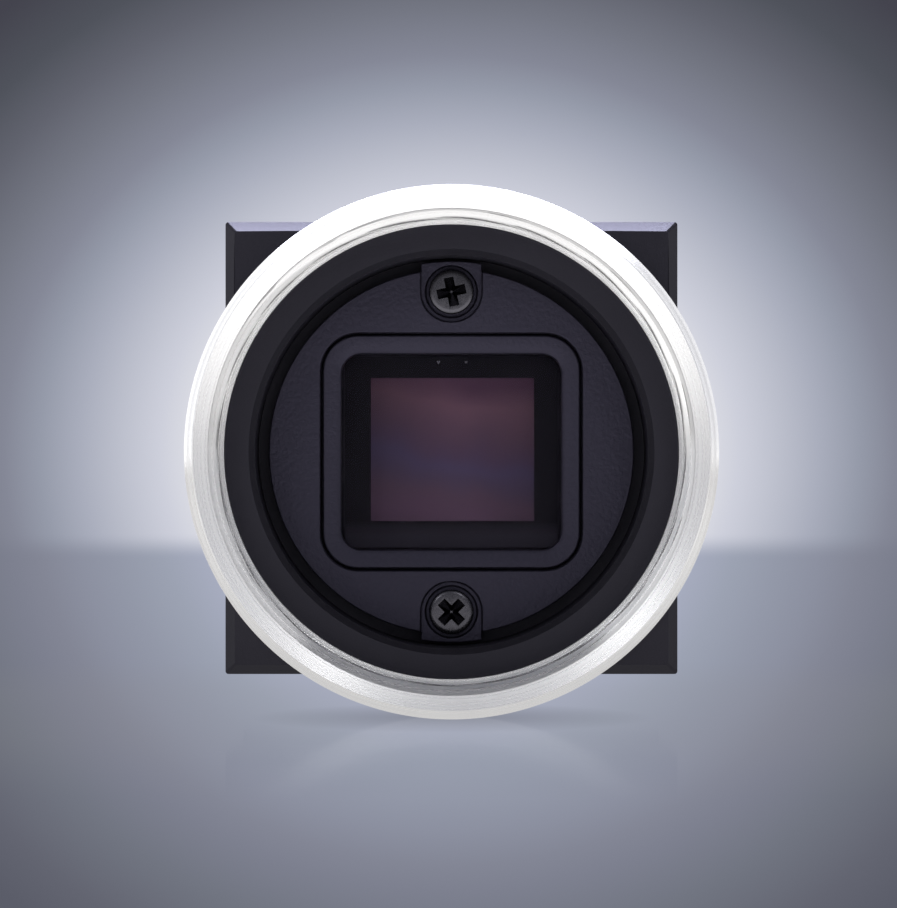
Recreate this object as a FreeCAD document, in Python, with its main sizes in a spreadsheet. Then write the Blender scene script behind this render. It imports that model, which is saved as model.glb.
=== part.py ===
"""Machine vision camera: a 24 mm square metal body behind a C-mount lens ring.

Millimetres. The origin is the centre of the lens flange face, on the optical axis.
+Y runs from the lens side to the connectors, +Z is up, and +X is on the right
for someone who looks into the lens mount.
"""
import FreeCAD, Part
import math
import os
import re

import Sketcher

V = FreeCAD.Vector

# Every size that can be set by itself: alias, value, what it is.
SIZES = [
    # Lens ring
    ("ring_diameter", 28.0, "outside of the lens ring"),
    ("ring_length", 6.0, "flange face to the front of the housing"),
    ("ring_edge", 0.42, "chamfer on the ring's front edge"),
    ("ring_rear_edge", 0.25, "chamfer on the ring's rear edge"),
    ("lead_diameter", 25.5, "45 degree lead-in at the flange face"),
    ("thread_minor", 24.54, "minor diameter of the 1 inch lens thread"),
    ("thread_length", 4.2, "flange face to the shoulder behind the thread"),
    # Front housing
    ("body_width", 24.0, "case across"),
    ("body_height", 24.0, "case up and down"),
    ("body_rise", 0.2, "centre of the case above the optical axis"),
    ("front_corner", 0.15, "corner radius of the front face inside its chamfer"),
    ("front_edge", 0.5, "chamfer round the front face"),
    ("seam_edge", 0.12, "chamfer on both sides of the joint with the sleeve"),
    ("housing_length", 16.0, "front face to the shoulder that carries the sleeve"),
    ("boss_diameter", 24.0, "round boss that centres the ring"),
    ("boss_length", 1.5, "height of that boss"),
    ("boss_gap", 0.02, "radial clearance of the ring on the boss"),
    ("well_diameter", 20.8, "well behind the lens"),
    ("well_bevel", 0.33, "bevel at the mouth of the well"),
    ("well_seat", 13.0, "flange face to the floor of the well"),
    ("web_thickness", 2.8, "wall between the well and the sensor room"),
    ("aperture_width", 12.2, "opening in that wall"),
    ("aperture_height", 11.2, "opening in that wall"),
    ("wall", 1.2, "wall of the housing and of the sleeve"),
    ("cavity_corner", 1.0, "inside corner radius of the case"),
    ("lip_length", 1.2, "rear lip that centres the sleeve"),
    ("lip_thickness", 0.55, "wall of that lip"),
    ("lip_gap", 0.05, "clearance round the lip and the rear step"),
    # Mounting holes below and above
    ("mount_drill", 1.6, "core hole of the M2 thread below"),
    ("mount_depth", 3.0, "depth of the mounting holes"),
    ("mount_inset", 2.5, "side of the case to the mounting holes"),
    ("mount_setback", 2.5, "front face to the first pair of holes below"),
    ("mount_along", 6.0, "first pair of holes below to the second"),
    ("top_drill", 2.5, "core hole of the M3 thread above"),
    ("top_setback", 5.5, "front face to the holes above"),
    # Filter and its retainer
    ("retainer_diameter", 19.6, "disc of the retainer"),
    ("retainer_edge", 0.1, "chamfer on the disc's edge"),
    ("lug_reach", 10.25, "axis to the end of the lugs"),
    ("lug_width", 3.3, "width of a lug"),
    ("lug_recess", 0.45, "lug floor below the retainer's face"),
    ("window_width", 11.8, "opening of the retainer"),
    ("window_height", 10.5, "opening of the retainer"),
    ("window_corner", 0.9, "corner radius of the opening"),
    ("window_lip", 0.22, "chamfer round the opening"),
    ("frame_width", 0.72, "flat frame between that chamfer and the groove"),
    ("groove_width", 0.22, "groove round that frame"),
    ("groove_depth", 0.25, "depth of that groove"),
    ("retainer_ledge", 1.1, "retainer in front of the filter's gasket"),
    ("gasket_thickness", 0.2, "gasket in front of the filter"),
    ("gasket_band", 0.5, "width of the gasket and of the seal"),
    ("seal_thickness", 0.2, "seal behind the filter"),
    ("filter_width", 13.2, "filter glass"),
    ("filter_height", 12.2, "filter glass"),
    ("filter_thickness", 1.0, "filter glass"),
    ("filter_corner", 0.8, "corner radius of the filter"),
    ("filter_gap", 0.1, "clearance round the filter"),
    ("retainer_screw_reach", 8.6, "axis to the retainer's screws"),
    ("small_head", 2.4, "head of the M1.4 screws"),
    ("small_head_height", 0.8, "head of the M1.4 screws"),
    ("head_sink", 0.4, "retainer screw heads below the lug floor"),
    ("head_gap", 0.2, "clearance round a sunk head"),
    ("retainer_screw_length", 3.6, "shank of the retainer's screws"),
    ("upper_screw_turn", 12.0, "degrees that the upper cross recess is turned"),
    ("lower_screw_turn", 45.0, "degrees that the lower cross recess is turned"),
    ("recess_span", 1.45, "cross recess, tip to tip"),
    ("recess_slot", 0.36, "width of its slots"),
    ("recess_depth", 0.5, "depth of the recess"),
    ("shank_diameter", 1.4, "shank of the M1.4 screws and studs"),
    ("shank_gap", 0.05, "radial clearance of a shank in its hole"),
    ("tip_room", 0.4, "hole beyond the end of a shank"),
    # Image sensor
    ("flange_focal", 17.526, "flange face to the sensor's surface"),
    ("die_width", 11.6, "sensor die"),
    ("die_height", 10.4, "sensor die"),
    ("die_thickness", 0.45, "sensor die"),
    ("package_width", 16.4, "ceramic package"),
    ("package_height", 15.0, "ceramic package"),
    ("package_floor", 1.4, "ceramic behind the die"),
    ("package_rim", 1.1, "rim above the package floor"),
    ("package_wall", 1.6, "width of that rim"),
    ("package_room", 0.3, "housing clear of the package"),
    ("cover_inset", 0.4, "edge of the package to its cover glass"),
    ("cover_thickness", 0.7, "cover glass of the sensor"),
    # Circuit boards
    ("board_gap", 0.2, "edge of a board to the case"),
    ("board_corner", 0.8, "corner radius of the boards"),
    ("sensor_board_thickness", 1.0, "sensor board"),
    ("processor_board_thickness", 1.2, "processor board"),
    ("network_board_thickness", 1.2, "network board"),
    ("front_spacing", 2.6, "sensor board to processor board"),
    ("middle_spacing", 2.4, "processor board to network board"),
    ("standoff_diameter", 2.4, "outside of the standoffs"),
    ("standoff_gap", 0.3, "standoffs clear of the case"),
    ("stud_engagement", 1.1, "stud in the standoff in front of it"),
    ("housing_stud", 2.4, "stud in the front housing"),
    ("plate_screw_grip", 2.6, "rear screws in the rear standoffs"),
    ("connector_length", 13.0, "board to board connectors"),
    ("connector_width", 3.0, "board to board connectors"),
    ("connector_inset", 0.9, "long edge of a board to its connector"),
    ("processor_size", 13.0, "processor chip"),
    ("processor_thickness", 1.3, "processor chip"),
    ("processor_drop", 1.6, "processor chip below the middle"),
    ("memory_width", 9.0, "memory chip"),
    ("memory_height", 7.5, "memory chip"),
    ("memory_thickness", 1.0, "memory chip"),
    ("memory_rise", 3.0, "memory chip above the middle"),
    ("phy_size", 7.0, "network chip"),
    ("phy_thickness", 0.9, "network chip"),
    ("phy_rise", 3.0, "network chip above the middle"),
    ("transformer_width", 9.0, "power transformer"),
    ("transformer_length", 4.5, "power transformer"),
    ("transformer_room", 0.4, "network jack to the power transformer"),
    ("transformer_gap", 1.1, "power transformer to the riser above it"),
    # Network jack
    ("jack_side", 0.1, "standoffs to the network jack"),
    ("jack_height", 13.4, "shield of the network jack"),
    ("jack_length", 15.4, "network board to the jack's mouth"),
    ("jack_floor", 0.5, "case floor to the jack"),
    ("jack_proud", 0.3, "mouth of the jack behind the rear plate"),
    ("jack_gap", 0.1, "rear plate clear of the jack and the header"),
    ("shield", 0.25, "sheet of the shield"),
    ("insulator_gap", 0.05, "insulator clear of the shield"),
    ("insulator_inset", 0.3, "insulator in from the mouth"),
    ("plug_width", 11.8, "cavity for the plug"),
    ("plug_height", 6.8, "cavity for the plug"),
    ("plug_depth", 11.6, "cavity for the plug"),
    ("latch_width", 6.4, "slot for the latch's shoulders"),
    ("latch_height", 1.5, "slot for the latch's shoulders"),
    ("tongue_width", 3.6, "slot for the latch's tongue"),
    ("tongue_height", 1.2, "slot for the latch's tongue"),
    ("contact_count", 8, "contact springs"),
    ("contact_pitch", 1.02, "contact springs, centre to centre"),
    ("contact_width", 0.36, "contact spring"),
    ("contact_thickness", 0.2, "contact spring"),
    ("contact_start", 2.2, "mouth to the root of a spring"),
    ("contact_run", 6.4, "length of a spring along the cavity"),
    ("contact_fall", 2.1, "fall of a spring into the cavity"),
    ("lamp_width", 2.6, "light pipes above the cavity"),
    ("lamp_height", 1.3, "light pipes above the cavity"),
    ("lamp_length", 3.0, "light pipes above the cavity"),
    ("lamp_edge", 0.5, "light pipe to the edge of the insulator"),
    ("lamp_floor", 0.3, "insulator between a light pipe and the cavity"),
    # Signal header and status lamp
    ("header_gap", 2.0, "network jack to the signal header above it"),
    ("header_roof", 1.3, "signal header to the roof of the case"),
    ("header_length", 5.0, "signal header"),
    ("header_wall", 0.65, "wall of the header"),
    ("header_depth", 3.9, "socket of the header"),
    ("header_proud", 0.2, "mouth of the header behind the rear plate"),
    ("key_width", 1.2, "polarising slots of the header"),
    ("key_spacing", 6.0, "between those slots"),
    ("pin_count", 8, "pins of the header"),
    ("pin_pitch", 1.25, "pins of the header"),
    ("pin_size", 0.4, "pins of the header"),
    ("pin_length", 3.2, "pins of the header"),
    ("io_board_gap", 0.5, "standoffs to the small board behind the header"),
    ("io_board_margin", 0.8, "small board above and below the header"),
    ("io_board_inset", 0.2, "header and light pipe in from the ends of the small board"),
    ("io_board_thickness", 0.8, "small board behind the header"),
    ("riser_pitch", 1.27, "pins between the small board and the network board"),
    ("riser_pin", 0.5, "thickness of those pins"),
    ("riser_inset", 1.1, "top of the small board to those pins"),
    ("riser_base", 1.5, "insulating strip round those pins"),
    ("riser_strip", 1.2, "height of that strip"),
    ("led_width", 1.6, "status lamp"),
    ("led_height", 1.2, "status lamp"),
    ("led_length", 0.7, "status lamp"),
    ("pipe_diameter", 2.0, "light pipe of the status lamp"),
    ("pipe_gap", 0.05, "light pipe in the rear plate"),
    ("pipe_room", 0.8, "header to that light pipe"),
    # Rear plate
    ("plate_thickness", 1.5, "rear plate"),
    ("plate_step", 0.6, "rear plate inside the sleeve"),
    ("plate_edge", 0.4, "chamfer round the rear plate"),
]
ALIASES = {alias for alias, value, note in SIZES}

# The ring's chamfers and its lead-in leave its wall standing.
RING_WALL = "(ring_diameter/2 - thread_minor/2)"
RING_EDGE = f"min(ring_edge; {RING_WALL}/4)"
RING_REAR_EDGE = f"min(ring_rear_edge; {RING_WALL}/4)"
LEAD_RADIUS = f"min(lead_diameter/2; thread_minor/2 + {RING_WALL}/3)"
SHANK_HOLE = "(shank_diameter/2 + shank_gap)"

# Widths and heights of what fits in the case.
CAVITY_WIDTH = "(body_width - 2*wall)"
CAVITY_HEIGHT = "(body_height - 2*wall)"
CASE_CORNER = "(front_corner + front_edge)"
LIP_WIDTH = f"({CAVITY_WIDTH} + 2*lip_thickness)"
LIP_HEIGHT = f"({CAVITY_HEIGHT} + 2*lip_thickness)"
MOUNT_ACROSS = "(body_width - 2*mount_inset)"
BOARD_WIDTH = f"({CAVITY_WIDTH} - 2*board_gap)"
BOARD_HEIGHT = f"({CAVITY_HEIGHT} - 2*board_gap)"
CONNECTOR_OFFSET = f"({BOARD_HEIGHT}/2 - connector_inset - connector_width/2)"
STACK_ACROSS = f"({CAVITY_WIDTH} - standoff_diameter - 2*standoff_gap)"
STACK_UP = f"({CAVITY_HEIGHT} - standoff_diameter - 2*standoff_gap)"
JACK_WIDTH = f"({STACK_ACROSS} - standoff_diameter - 2*jack_side)"
IO_BOARD_WIDTH = f"({STACK_ACROSS} - standoff_diameter - 2*io_board_gap)"
HEADER_WIDTH = f"({IO_BOARD_WIDTH} - 2*io_board_inset - pipe_room - pipe_diameter)"
HEADER_HEIGHT = f"({CAVITY_HEIGHT} - jack_floor - jack_height - header_gap - header_roof)"
IO_BOARD_HEIGHT = f"({HEADER_HEIGHT} + 2*io_board_margin)"

# Places across the case, and above the optical axis.
HEADER_SHIFT = f"(({HEADER_WIDTH} - {IO_BOARD_WIDTH})/2 + io_board_inset)"
PIPE_SHIFT = f"({IO_BOARD_WIDTH}/2 - io_board_inset - pipe_diameter/2)"
CASE_FLOOR = f"(body_rise - {CAVITY_HEIGHT}/2)"
JACK_MIDDLE = f"({CASE_FLOOR} + jack_floor + jack_height/2)"
JACK_TOP = f"({JACK_MIDDLE} + jack_height/2)"
HEADER_MIDDLE = f"({JACK_TOP} + header_gap + {HEADER_HEIGHT}/2)"
RISER_RISE = f"({HEADER_MIDDLE} + {IO_BOARD_HEIGHT}/2 - riser_inset)"
TRANSFORMER_FLOOR = f"({JACK_TOP} + transformer_room)"
TRANSFORMER_HEIGHT = f"({RISER_RISE} - riser_strip/2 - transformer_gap - {TRANSFORMER_FLOOR})"

# Depths behind the flange face.
BOSS_FACE = "(ring_length - boss_length)"
RETAINER_THICKNESS = "(retainer_ledge + gasket_thickness + filter_thickness + seal_thickness)"
RETAINER_FACE = f"(well_seat - {RETAINER_THICKNESS})"
FILTER_FACE = "(well_seat - seal_thickness - filter_thickness)"
SLEEVE_FRONT = "(ring_length + housing_length)"
PACKAGE_FLOOR = "(flange_focal + die_thickness)"
PACKAGE_RIM = f"({PACKAGE_FLOOR} - package_rim)"
SENSOR_BOARD = f"({PACKAGE_FLOOR} + package_floor)"
PROCESSOR_BOARD = f"({SENSOR_BOARD} + sensor_board_thickness + front_spacing)"
NETWORK_BOARD = f"({PROCESSOR_BOARD} + processor_board_thickness + middle_spacing)"
NETWORK_REAR = f"({NETWORK_BOARD} + network_board_thickness)"
JACK_MOUTH = f"({NETWORK_REAR} + jack_length)"
PLATE_FACE = f"({JACK_MOUTH} - jack_proud)"
SLEEVE_REAR = f"({PLATE_FACE} - plate_thickness)"
SLEEVE_LENGTH = f"({SLEEVE_REAR} - {SLEEVE_FRONT})"
HEADER_MOUTH = f"({PLATE_FACE} + header_proud)"
HEADER_BACK = f"({HEADER_MOUTH} - header_length)"
IO_BOARD = f"({HEADER_BACK} - io_board_thickness)"

# The jack's insulator inside its shield, and the cavity for the plug in it.
INSULATOR_WIDTH = f"({JACK_WIDTH} - 2*shield - 2*insulator_gap)"
INSULATOR_HEIGHT = "(jack_height - 2*shield - 2*insulator_gap)"
INSULATOR_LENGTH = "(jack_length - shield - insulator_inset)"
PLUG_TOP = f"({INSULATOR_HEIGHT}/2 - lamp_edge - lamp_height - lamp_floor)"

doc = FreeCAD.newDocument("camera")
sheet = doc.addObject("Spreadsheet::Sheet", "Sizes")
for row, (alias, value, note) in enumerate(SIZES, 1):
    sheet.set(f"A{row}", alias)
    sheet.set(f"B{row}", str(value))
    sheet.set(f"C{row}", note)
    sheet.setAlias(f"B{row}", alias)
doc.recompute()

parts = []


# ---- Binding to the sheet ----

def bound(text):
    """The expression with every alias written as a cell of the sheet."""
    return re.sub(r"[a-z][a-z_]*", lambda m: f"Sizes.{m[0]}" if m[0] in ALIASES else m[0], str(text))


def now(text):
    """What the expression is worth now."""
    return float(sheet.evalExpression(bound(text)))


def bind(thing, **properties):
    for name, text in properties.items():
        thing.setExpression(name.replace("__", "."), bound(text))


def seat(thing, x="0", y="0", z="0"):
    bind(thing, Placement__Base__x=x, Placement__Base__y=y, Placement__Base__z=z)


# ---- Bodies and their features ----

def new_body(name, loose=False):
    """A body that is a sub-part. loose: its solids don't touch each other."""
    body = doc.addObject("PartDesign::Body", name)
    body.Label = name
    body.AllowCompound = loose
    parts.append(body)
    return body


def origin_feature(body, role):
    return next(f for f in body.Origin.OriginFeatures if f.Role == role)


def new_sketch(body, role, name, offset="0"):
    sketch = body.newObject("Sketcher::SketchObject", name)
    sketch.AttachmentSupport = [(origin_feature(body, role), "")]
    sketch.MapMode = "FlatFace"
    bind(sketch, AttachmentOffset__Base__z=offset)
    return sketch


def cross_section(body, name, depth="0"):
    """A sketch across the optical axis, at a depth behind the body's own origin."""
    return new_sketch(body, "XZ_Plane", name, f"-({depth})")


def half_section(body, name):
    """A sketch that holds a turned profile: radius across, depth up."""
    return new_sketch(body, "XY_Plane", name)


def drive(sketch, text, *constraint):
    """Add a dimension that follows an expression."""
    index = sketch.addConstraint(Sketcher.Constraint(*constraint, now(text)))
    sketch.renameConstraint(index, f"size{index}")
    sketch.setExpression(f"Constraints.size{index}", bound(text))


def place_point(sketch, geometry, point, x, y):
    drive(sketch, x, "DistanceX", -1, 1, geometry, point)
    drive(sketch, y, "DistanceY", -1, 1, geometry, point)


def add_circle(sketch, radius, x="0", y="0"):
    circle = sketch.addGeometry(Part.Circle(V(now(x), now(y), 0), V(0, 0, 1), now(radius)))
    place_point(sketch, circle, 3, x, y)
    drive(sketch, radius, "Radius", circle)


def add_outline(sketch, corners):
    """A closed outline of straight edges through the corners."""
    first = sketch.GeometryCount
    places = [V(now(x), now(y), 0) for x, y in corners]
    for start, end in zip(places, places[1:] + places[:1]):
        sketch.addGeometry(Part.LineSegment(start, end))
    for i, (x, y) in enumerate(corners):
        following = first + (i + 1) % len(corners)
        sketch.addConstraint(Sketcher.Constraint("Coincident", first + i, 2, following, 1))
        place_point(sketch, first + i, 1, x, y)


def add_rectangle(sketch, width, height, x="0", y="0"):
    left, right = f"{x} - ({width})/2", f"{x} + ({width})/2"
    bottom, top = f"{y} - ({height})/2", f"{y} + ({height})/2"
    add_outline(sketch, [(left, bottom), (right, bottom), (right, top), (left, top)])


def add_rounded(sketch, width, height, radius, x="0", y="0"):
    """A rectangle with round corners: four sides and four tangent arcs."""
    w, h, r = now(width) / 2, now(height) / 2, now(radius)
    centre = V(now(x), now(y), 0)
    first = sketch.GeometryCount
    quarter = FreeCAD.Rotation(V(0, 0, 1), 90)
    turn = FreeCAD.Rotation()
    for i in range(4):
        along, across = (w, h) if i % 2 == 0 else (h, w)
        start, end = V(r - along, -across, 0), V(along - r, -across, 0)
        sketch.addGeometry(Part.LineSegment(centre + turn * start, centre + turn * end))
        middle = centre + turn * V(along - r, r - across, 0)
        circle = Part.Circle(middle, V(0, 0, 1), r)
        angle = math.radians(90 * (i - 1))
        sketch.addGeometry(Part.ArcOfCircle(circle, angle, angle + math.pi / 2))
        turn = quarter * turn
    sides = [first + 2 * i for i in range(4)]
    arcs = [side + 1 for side in sides]
    for i in range(4):
        sketch.addConstraint(Sketcher.Constraint("Tangent", sides[i], 2, arcs[i], 1))
        sketch.addConstraint(Sketcher.Constraint("Tangent", arcs[i], 2, sides[(i + 1) % 4], 1))
        sketch.addConstraint(Sketcher.Constraint(("Horizontal", "Vertical")[i % 2], sides[i]))
        if i:
            sketch.addConstraint(Sketcher.Constraint("Equal", arcs[0], arcs[i]))
    drive(sketch, radius, "Radius", arcs[0])
    drive(sketch, f"{x} - ({width})/2", "DistanceX", -1, 1, sides[3], 1)
    drive(sketch, f"{x} + ({width})/2", "DistanceX", -1, 1, sides[1], 1)
    drive(sketch, f"{y} - ({height})/2", "DistanceY", -1, 1, sides[0], 1)
    drive(sketch, f"{y} + ({height})/2", "DistanceY", -1, 1, sides[2], 1)


def add_tongue(sketch, width, middle, end):
    """A U: a half circle about (0, middle) whose two straight sides run out to end."""
    x, y, far = now(width) / 2, now(middle), now(end)
    first = sketch.GeometryCount
    corners = [V(x, y, 0), V(x, far, 0), V(-x, far, 0), V(-x, y, 0)]
    for start, stop in zip(corners, corners[1:]):
        sketch.addGeometry(Part.LineSegment(start, stop))
    sketch.addGeometry(Part.Arc(corners[3], V(0, y - x, 0), corners[0]))
    arc = first + 3
    sketch.addConstraint(Sketcher.Constraint("Coincident", first, 2, first + 1, 1))
    sketch.addConstraint(Sketcher.Constraint("Coincident", first + 1, 2, first + 2, 1))
    sketch.addConstraint(Sketcher.Constraint("Coincident", first + 2, 2, arc, 1))
    sketch.addConstraint(Sketcher.Constraint("Coincident", arc, 2, first, 1))
    place_point(sketch, first, 1, f"({width})/2", middle)
    place_point(sketch, first + 1, 1, f"({width})/2", end)
    place_point(sketch, first + 2, 1, f"-({width})/2", end)
    place_point(sketch, first + 2, 2, f"-({width})/2", middle)
    drive(sketch, middle, "DistanceY", -1, 1, arc, 3)


def add_lug(sketch, width, foot, reach):
    """Two straight sides from foot outwards, closed by an arc about the origin."""
    x, low, radius = now(width) / 2, now(foot), now(reach)
    high = math.sqrt(radius**2 - x**2)
    corners = [V(-x, high, 0), V(-x, low, 0), V(x, low, 0), V(x, high, 0)]
    left, base, right = range(sketch.GeometryCount, sketch.GeometryCount + 3)
    for start, end in zip(corners, corners[1:]):
        sketch.addGeometry(Part.LineSegment(start, end))
    arc = sketch.addGeometry(Part.Arc(corners[3], V(0, radius, 0), corners[0]))
    for one, other in ((left, base), (base, right), (right, arc), (arc, left)):
        sketch.addConstraint(Sketcher.Constraint("Coincident", one, 2, other, 1))
    for side in (left, right):
        sketch.addConstraint(Sketcher.Constraint("Vertical", side))
    place_point(sketch, base, 1, f"-({width})/2", foot)
    place_point(sketch, base, 2, f"({width})/2", foot)
    sketch.addConstraint(Sketcher.Constraint("Coincident", arc, 3, -1, 1))
    drive(sketch, reach, "Radius", arc)


def finish(body, feature, grows):
    """Recompute, and make sure that the feature added or took material as it should."""
    before = body.Shape.Volume if body.Shape and not body.Shape.isNull() else 0.0
    doc.recompute()
    body.Tip = feature
    doc.recompute()
    change = body.Shape.Volume - before
    if (change > 0) != grows or abs(change) < 1e-6:
        raise RuntimeError(f"{body.Label}.{feature.Label} changed the volume by {change:.6f}")
    return feature


def pad(body, sketch, length, forward=False):
    """Material from the sketch towards the rear, or forward towards the lens."""
    feature = body.newObject("PartDesign::Pad", f"{sketch.Name}_pad")
    feature.Profile = sketch
    feature.Reversed = not forward
    bind(feature, Length=length)
    return finish(body, feature, True)


def pocket(body, sketch, length, forward=False):
    """A cut from the sketch towards the rear, or forward towards the lens."""
    feature = body.newObject("PartDesign::Pocket", f"{sketch.Name}_cut")
    feature.Profile = sketch
    feature.Reversed = forward
    bind(feature, Length=length)
    return finish(body, feature, False)


def turned(body, sketch):
    """The profile turned about the optical axis."""
    feature = body.newObject("PartDesign::Revolution", f"{sketch.Name}_turned")
    feature.Profile = sketch
    feature.ReferenceAxis = (sketch, ["V_Axis"])
    feature.Angle = 360
    return finish(body, feature, True)


def linear_pattern(body, feature, role, length, count):
    pattern = body.newObject("PartDesign::LinearPattern", f"{feature.Name}_pattern")
    pattern.Originals = [feature]
    pattern.Direction = (origin_feature(body, role), [""])
    bind(pattern, Length=length, Occurrences=count)
    return pattern


def in_row(body, feature, grows, pitch, count):
    """Copies of a feature in a row along X."""
    pattern = linear_pattern(body, feature, "X_Axis", f"{pitch}*({count} - 1)", count)
    return finish(body, pattern, grows)


def at_corners(body, feature, grows, across, along, second="Z_Axis"):
    """Four copies of a feature at the corners of a rectangle."""
    pattern = linear_pattern(body, feature, "X_Axis", across, "2")
    pattern.Direction2 = (origin_feature(body, second), [""])
    bind(pattern, Length2=along, Occurrences2="2")
    return finish(body, pattern, grows)


def mirrored(body, features, grows, role="XY_Plane"):
    mirror = body.newObject("PartDesign::Mirrored", f"{features[-1].Name}_mirror")
    mirror.Originals = features
    mirror.MirrorPlane = (origin_feature(body, role), [""])
    return finish(body, mirror, grows)


def chamfer(body, feature, size, chosen):
    """A chamfer on the edges of the feature that chosen picks."""
    edges = [f"Edge{i}" for i, edge in enumerate(feature.Shape.Edges, 1) if chosen(edge)]
    bevel = body.newObject("PartDesign::Chamfer", f"{feature.Name}_chamfer")
    bevel.Base = (feature, edges)
    bind(bevel, Size=size)
    return finish(body, bevel, False)


def at_depth(depth):
    """Picks edges that lie across the optical axis at this depth."""
    return lambda edge: abs(edge.BoundBox.YMin - depth) < 1e-6 and abs(edge.BoundBox.YMax - depth) < 1e-6


def block(name, width, length, height, x="0", y="0", z="0"):
    """A plain box that is a sub-part, centred on x and z, with its front at y."""
    box = doc.addObject("Part::Box", name)
    box.Label = name
    bind(box, Length=width, Width=length, Height=height)
    seat(box, f"{x} - ({width})/2", y, f"{z} - ({height})/2")
    parts.append(box)
    return box


# ---- Lens ring ----

def make_ring():
    """Bare aluminium ring: lead-in, threaded bore, and a rear bore that fits the boss."""
    body = new_body("c_mount_ring")
    profile = half_section(body, "ring_profile")
    outside, core = "ring_diameter/2", "thread_minor/2"
    fit = "boss_diameter/2 + boss_gap"
    add_outline(profile, [
        (LEAD_RADIUS, "0"),
        (f"{outside} - {RING_EDGE}", "0"),
        (outside, RING_EDGE),
        (outside, f"ring_length - {RING_REAR_EDGE}"),
        (f"{outside} - {RING_REAR_EDGE}", "ring_length"),
        (fit, "ring_length"),
        (fit, "thread_length"),
        (core, "thread_length"),
        (core, f"{LEAD_RADIUS} - {core}"),
    ])
    turned(body, profile)


# ---- Front housing ----

def make_front_housing():
    """Machined block: boss and lens well in front, sensor room and board cavity behind."""
    body = new_body("front_housing")
    seat(body, y="ring_length")
    outer = cross_section(body, "block")
    add_rounded(outer, "body_width", "body_height", CASE_CORNER, y="body_rise")
    blank = pad(body, outer, "housing_length")
    faced = chamfer(body, blank, "front_edge", at_depth(0.0))
    chamfer(body, faced, "seam_edge", at_depth(now("housing_length")))

    boss = cross_section(body, "boss")
    add_circle(boss, "boss_diameter/2")
    pad(body, boss, "boss_length", forward=True)

    lip = cross_section(body, "lip", "housing_length")
    add_rounded(lip, LIP_WIDTH, LIP_HEIGHT, "cavity_corner + lip_thickness", y="body_rise")
    pad(body, lip, "lip_length")

    well = cross_section(body, "well", "-boss_length")
    add_circle(well, "well_diameter/2")
    bore = pocket(body, well, f"well_seat - {BOSS_FACE}")
    mouth = now("-boss_length")
    across = now("well_diameter")
    chamfer(body, bore, "well_bevel",
            lambda edge: at_depth(mouth)(edge) and abs(edge.BoundBox.XLength - across) < 1e-3)

    aperture = cross_section(body, "aperture", "well_seat - ring_length")
    add_rounded(aperture, "aperture_width", "aperture_height", "filter_corner")
    pocket(body, aperture, "web_thickness")

    cavity = cross_section(body, "cavity", f"{SENSOR_BOARD} - ring_length")
    add_rounded(cavity, CAVITY_WIDTH, CAVITY_HEIGHT, "cavity_corner", y="body_rise")
    pocket(body, cavity, f"{SLEEVE_FRONT} + lip_length - {SENSOR_BOARD}")

    room = cross_section(body, "sensor_room", "well_seat + web_thickness - ring_length")
    add_rounded(room, "package_width + 2*package_room", "package_height + 2*package_room", "package_room")
    pocket(body, room, f"{SENSOR_BOARD} - well_seat - web_thickness")

    tapped = cross_section(body, "retainer_hole", "well_seat - ring_length")
    add_circle(tapped, SHANK_HOLE, y="retainer_screw_reach")
    shank_end = "retainer_screw_length + lug_recess + head_sink"
    upper = pocket(body, tapped, f"{shank_end} - {RETAINER_THICKNESS} + tip_room")
    mirrored(body, [upper], False)

    stud = cross_section(body, "stud_hole", f"{SENSOR_BOARD} - housing_stud - tip_room - ring_length")
    add_circle(stud, SHANK_HOLE, f"-{STACK_ACROSS}/2", f"body_rise - {STACK_UP}/2")
    corner = pocket(body, stud, "housing_stud + tip_room")
    at_corners(body, corner, False, STACK_ACROSS, STACK_UP)

    floor = new_sketch(body, "XY_Plane", "bottom_mount", "body_rise - body_height/2")
    add_circle(floor, "mount_drill/2", f"-{MOUNT_ACROSS}/2", "mount_setback")
    drilled = pocket(body, floor, "mount_depth", forward=True)
    at_corners(body, drilled, False, MOUNT_ACROSS, "mount_along", "Y_Axis")

    roof = new_sketch(body, "XY_Plane", "top_mount", "body_rise + body_height/2")
    add_circle(roof, "top_drill/2", f"-{MOUNT_ACROSS}/2", "top_setback")
    drilled = pocket(body, roof, "mount_depth")
    mirrored(body, [drilled], False, "YZ_Plane")


# ---- Filter and its retainer ----

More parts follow.
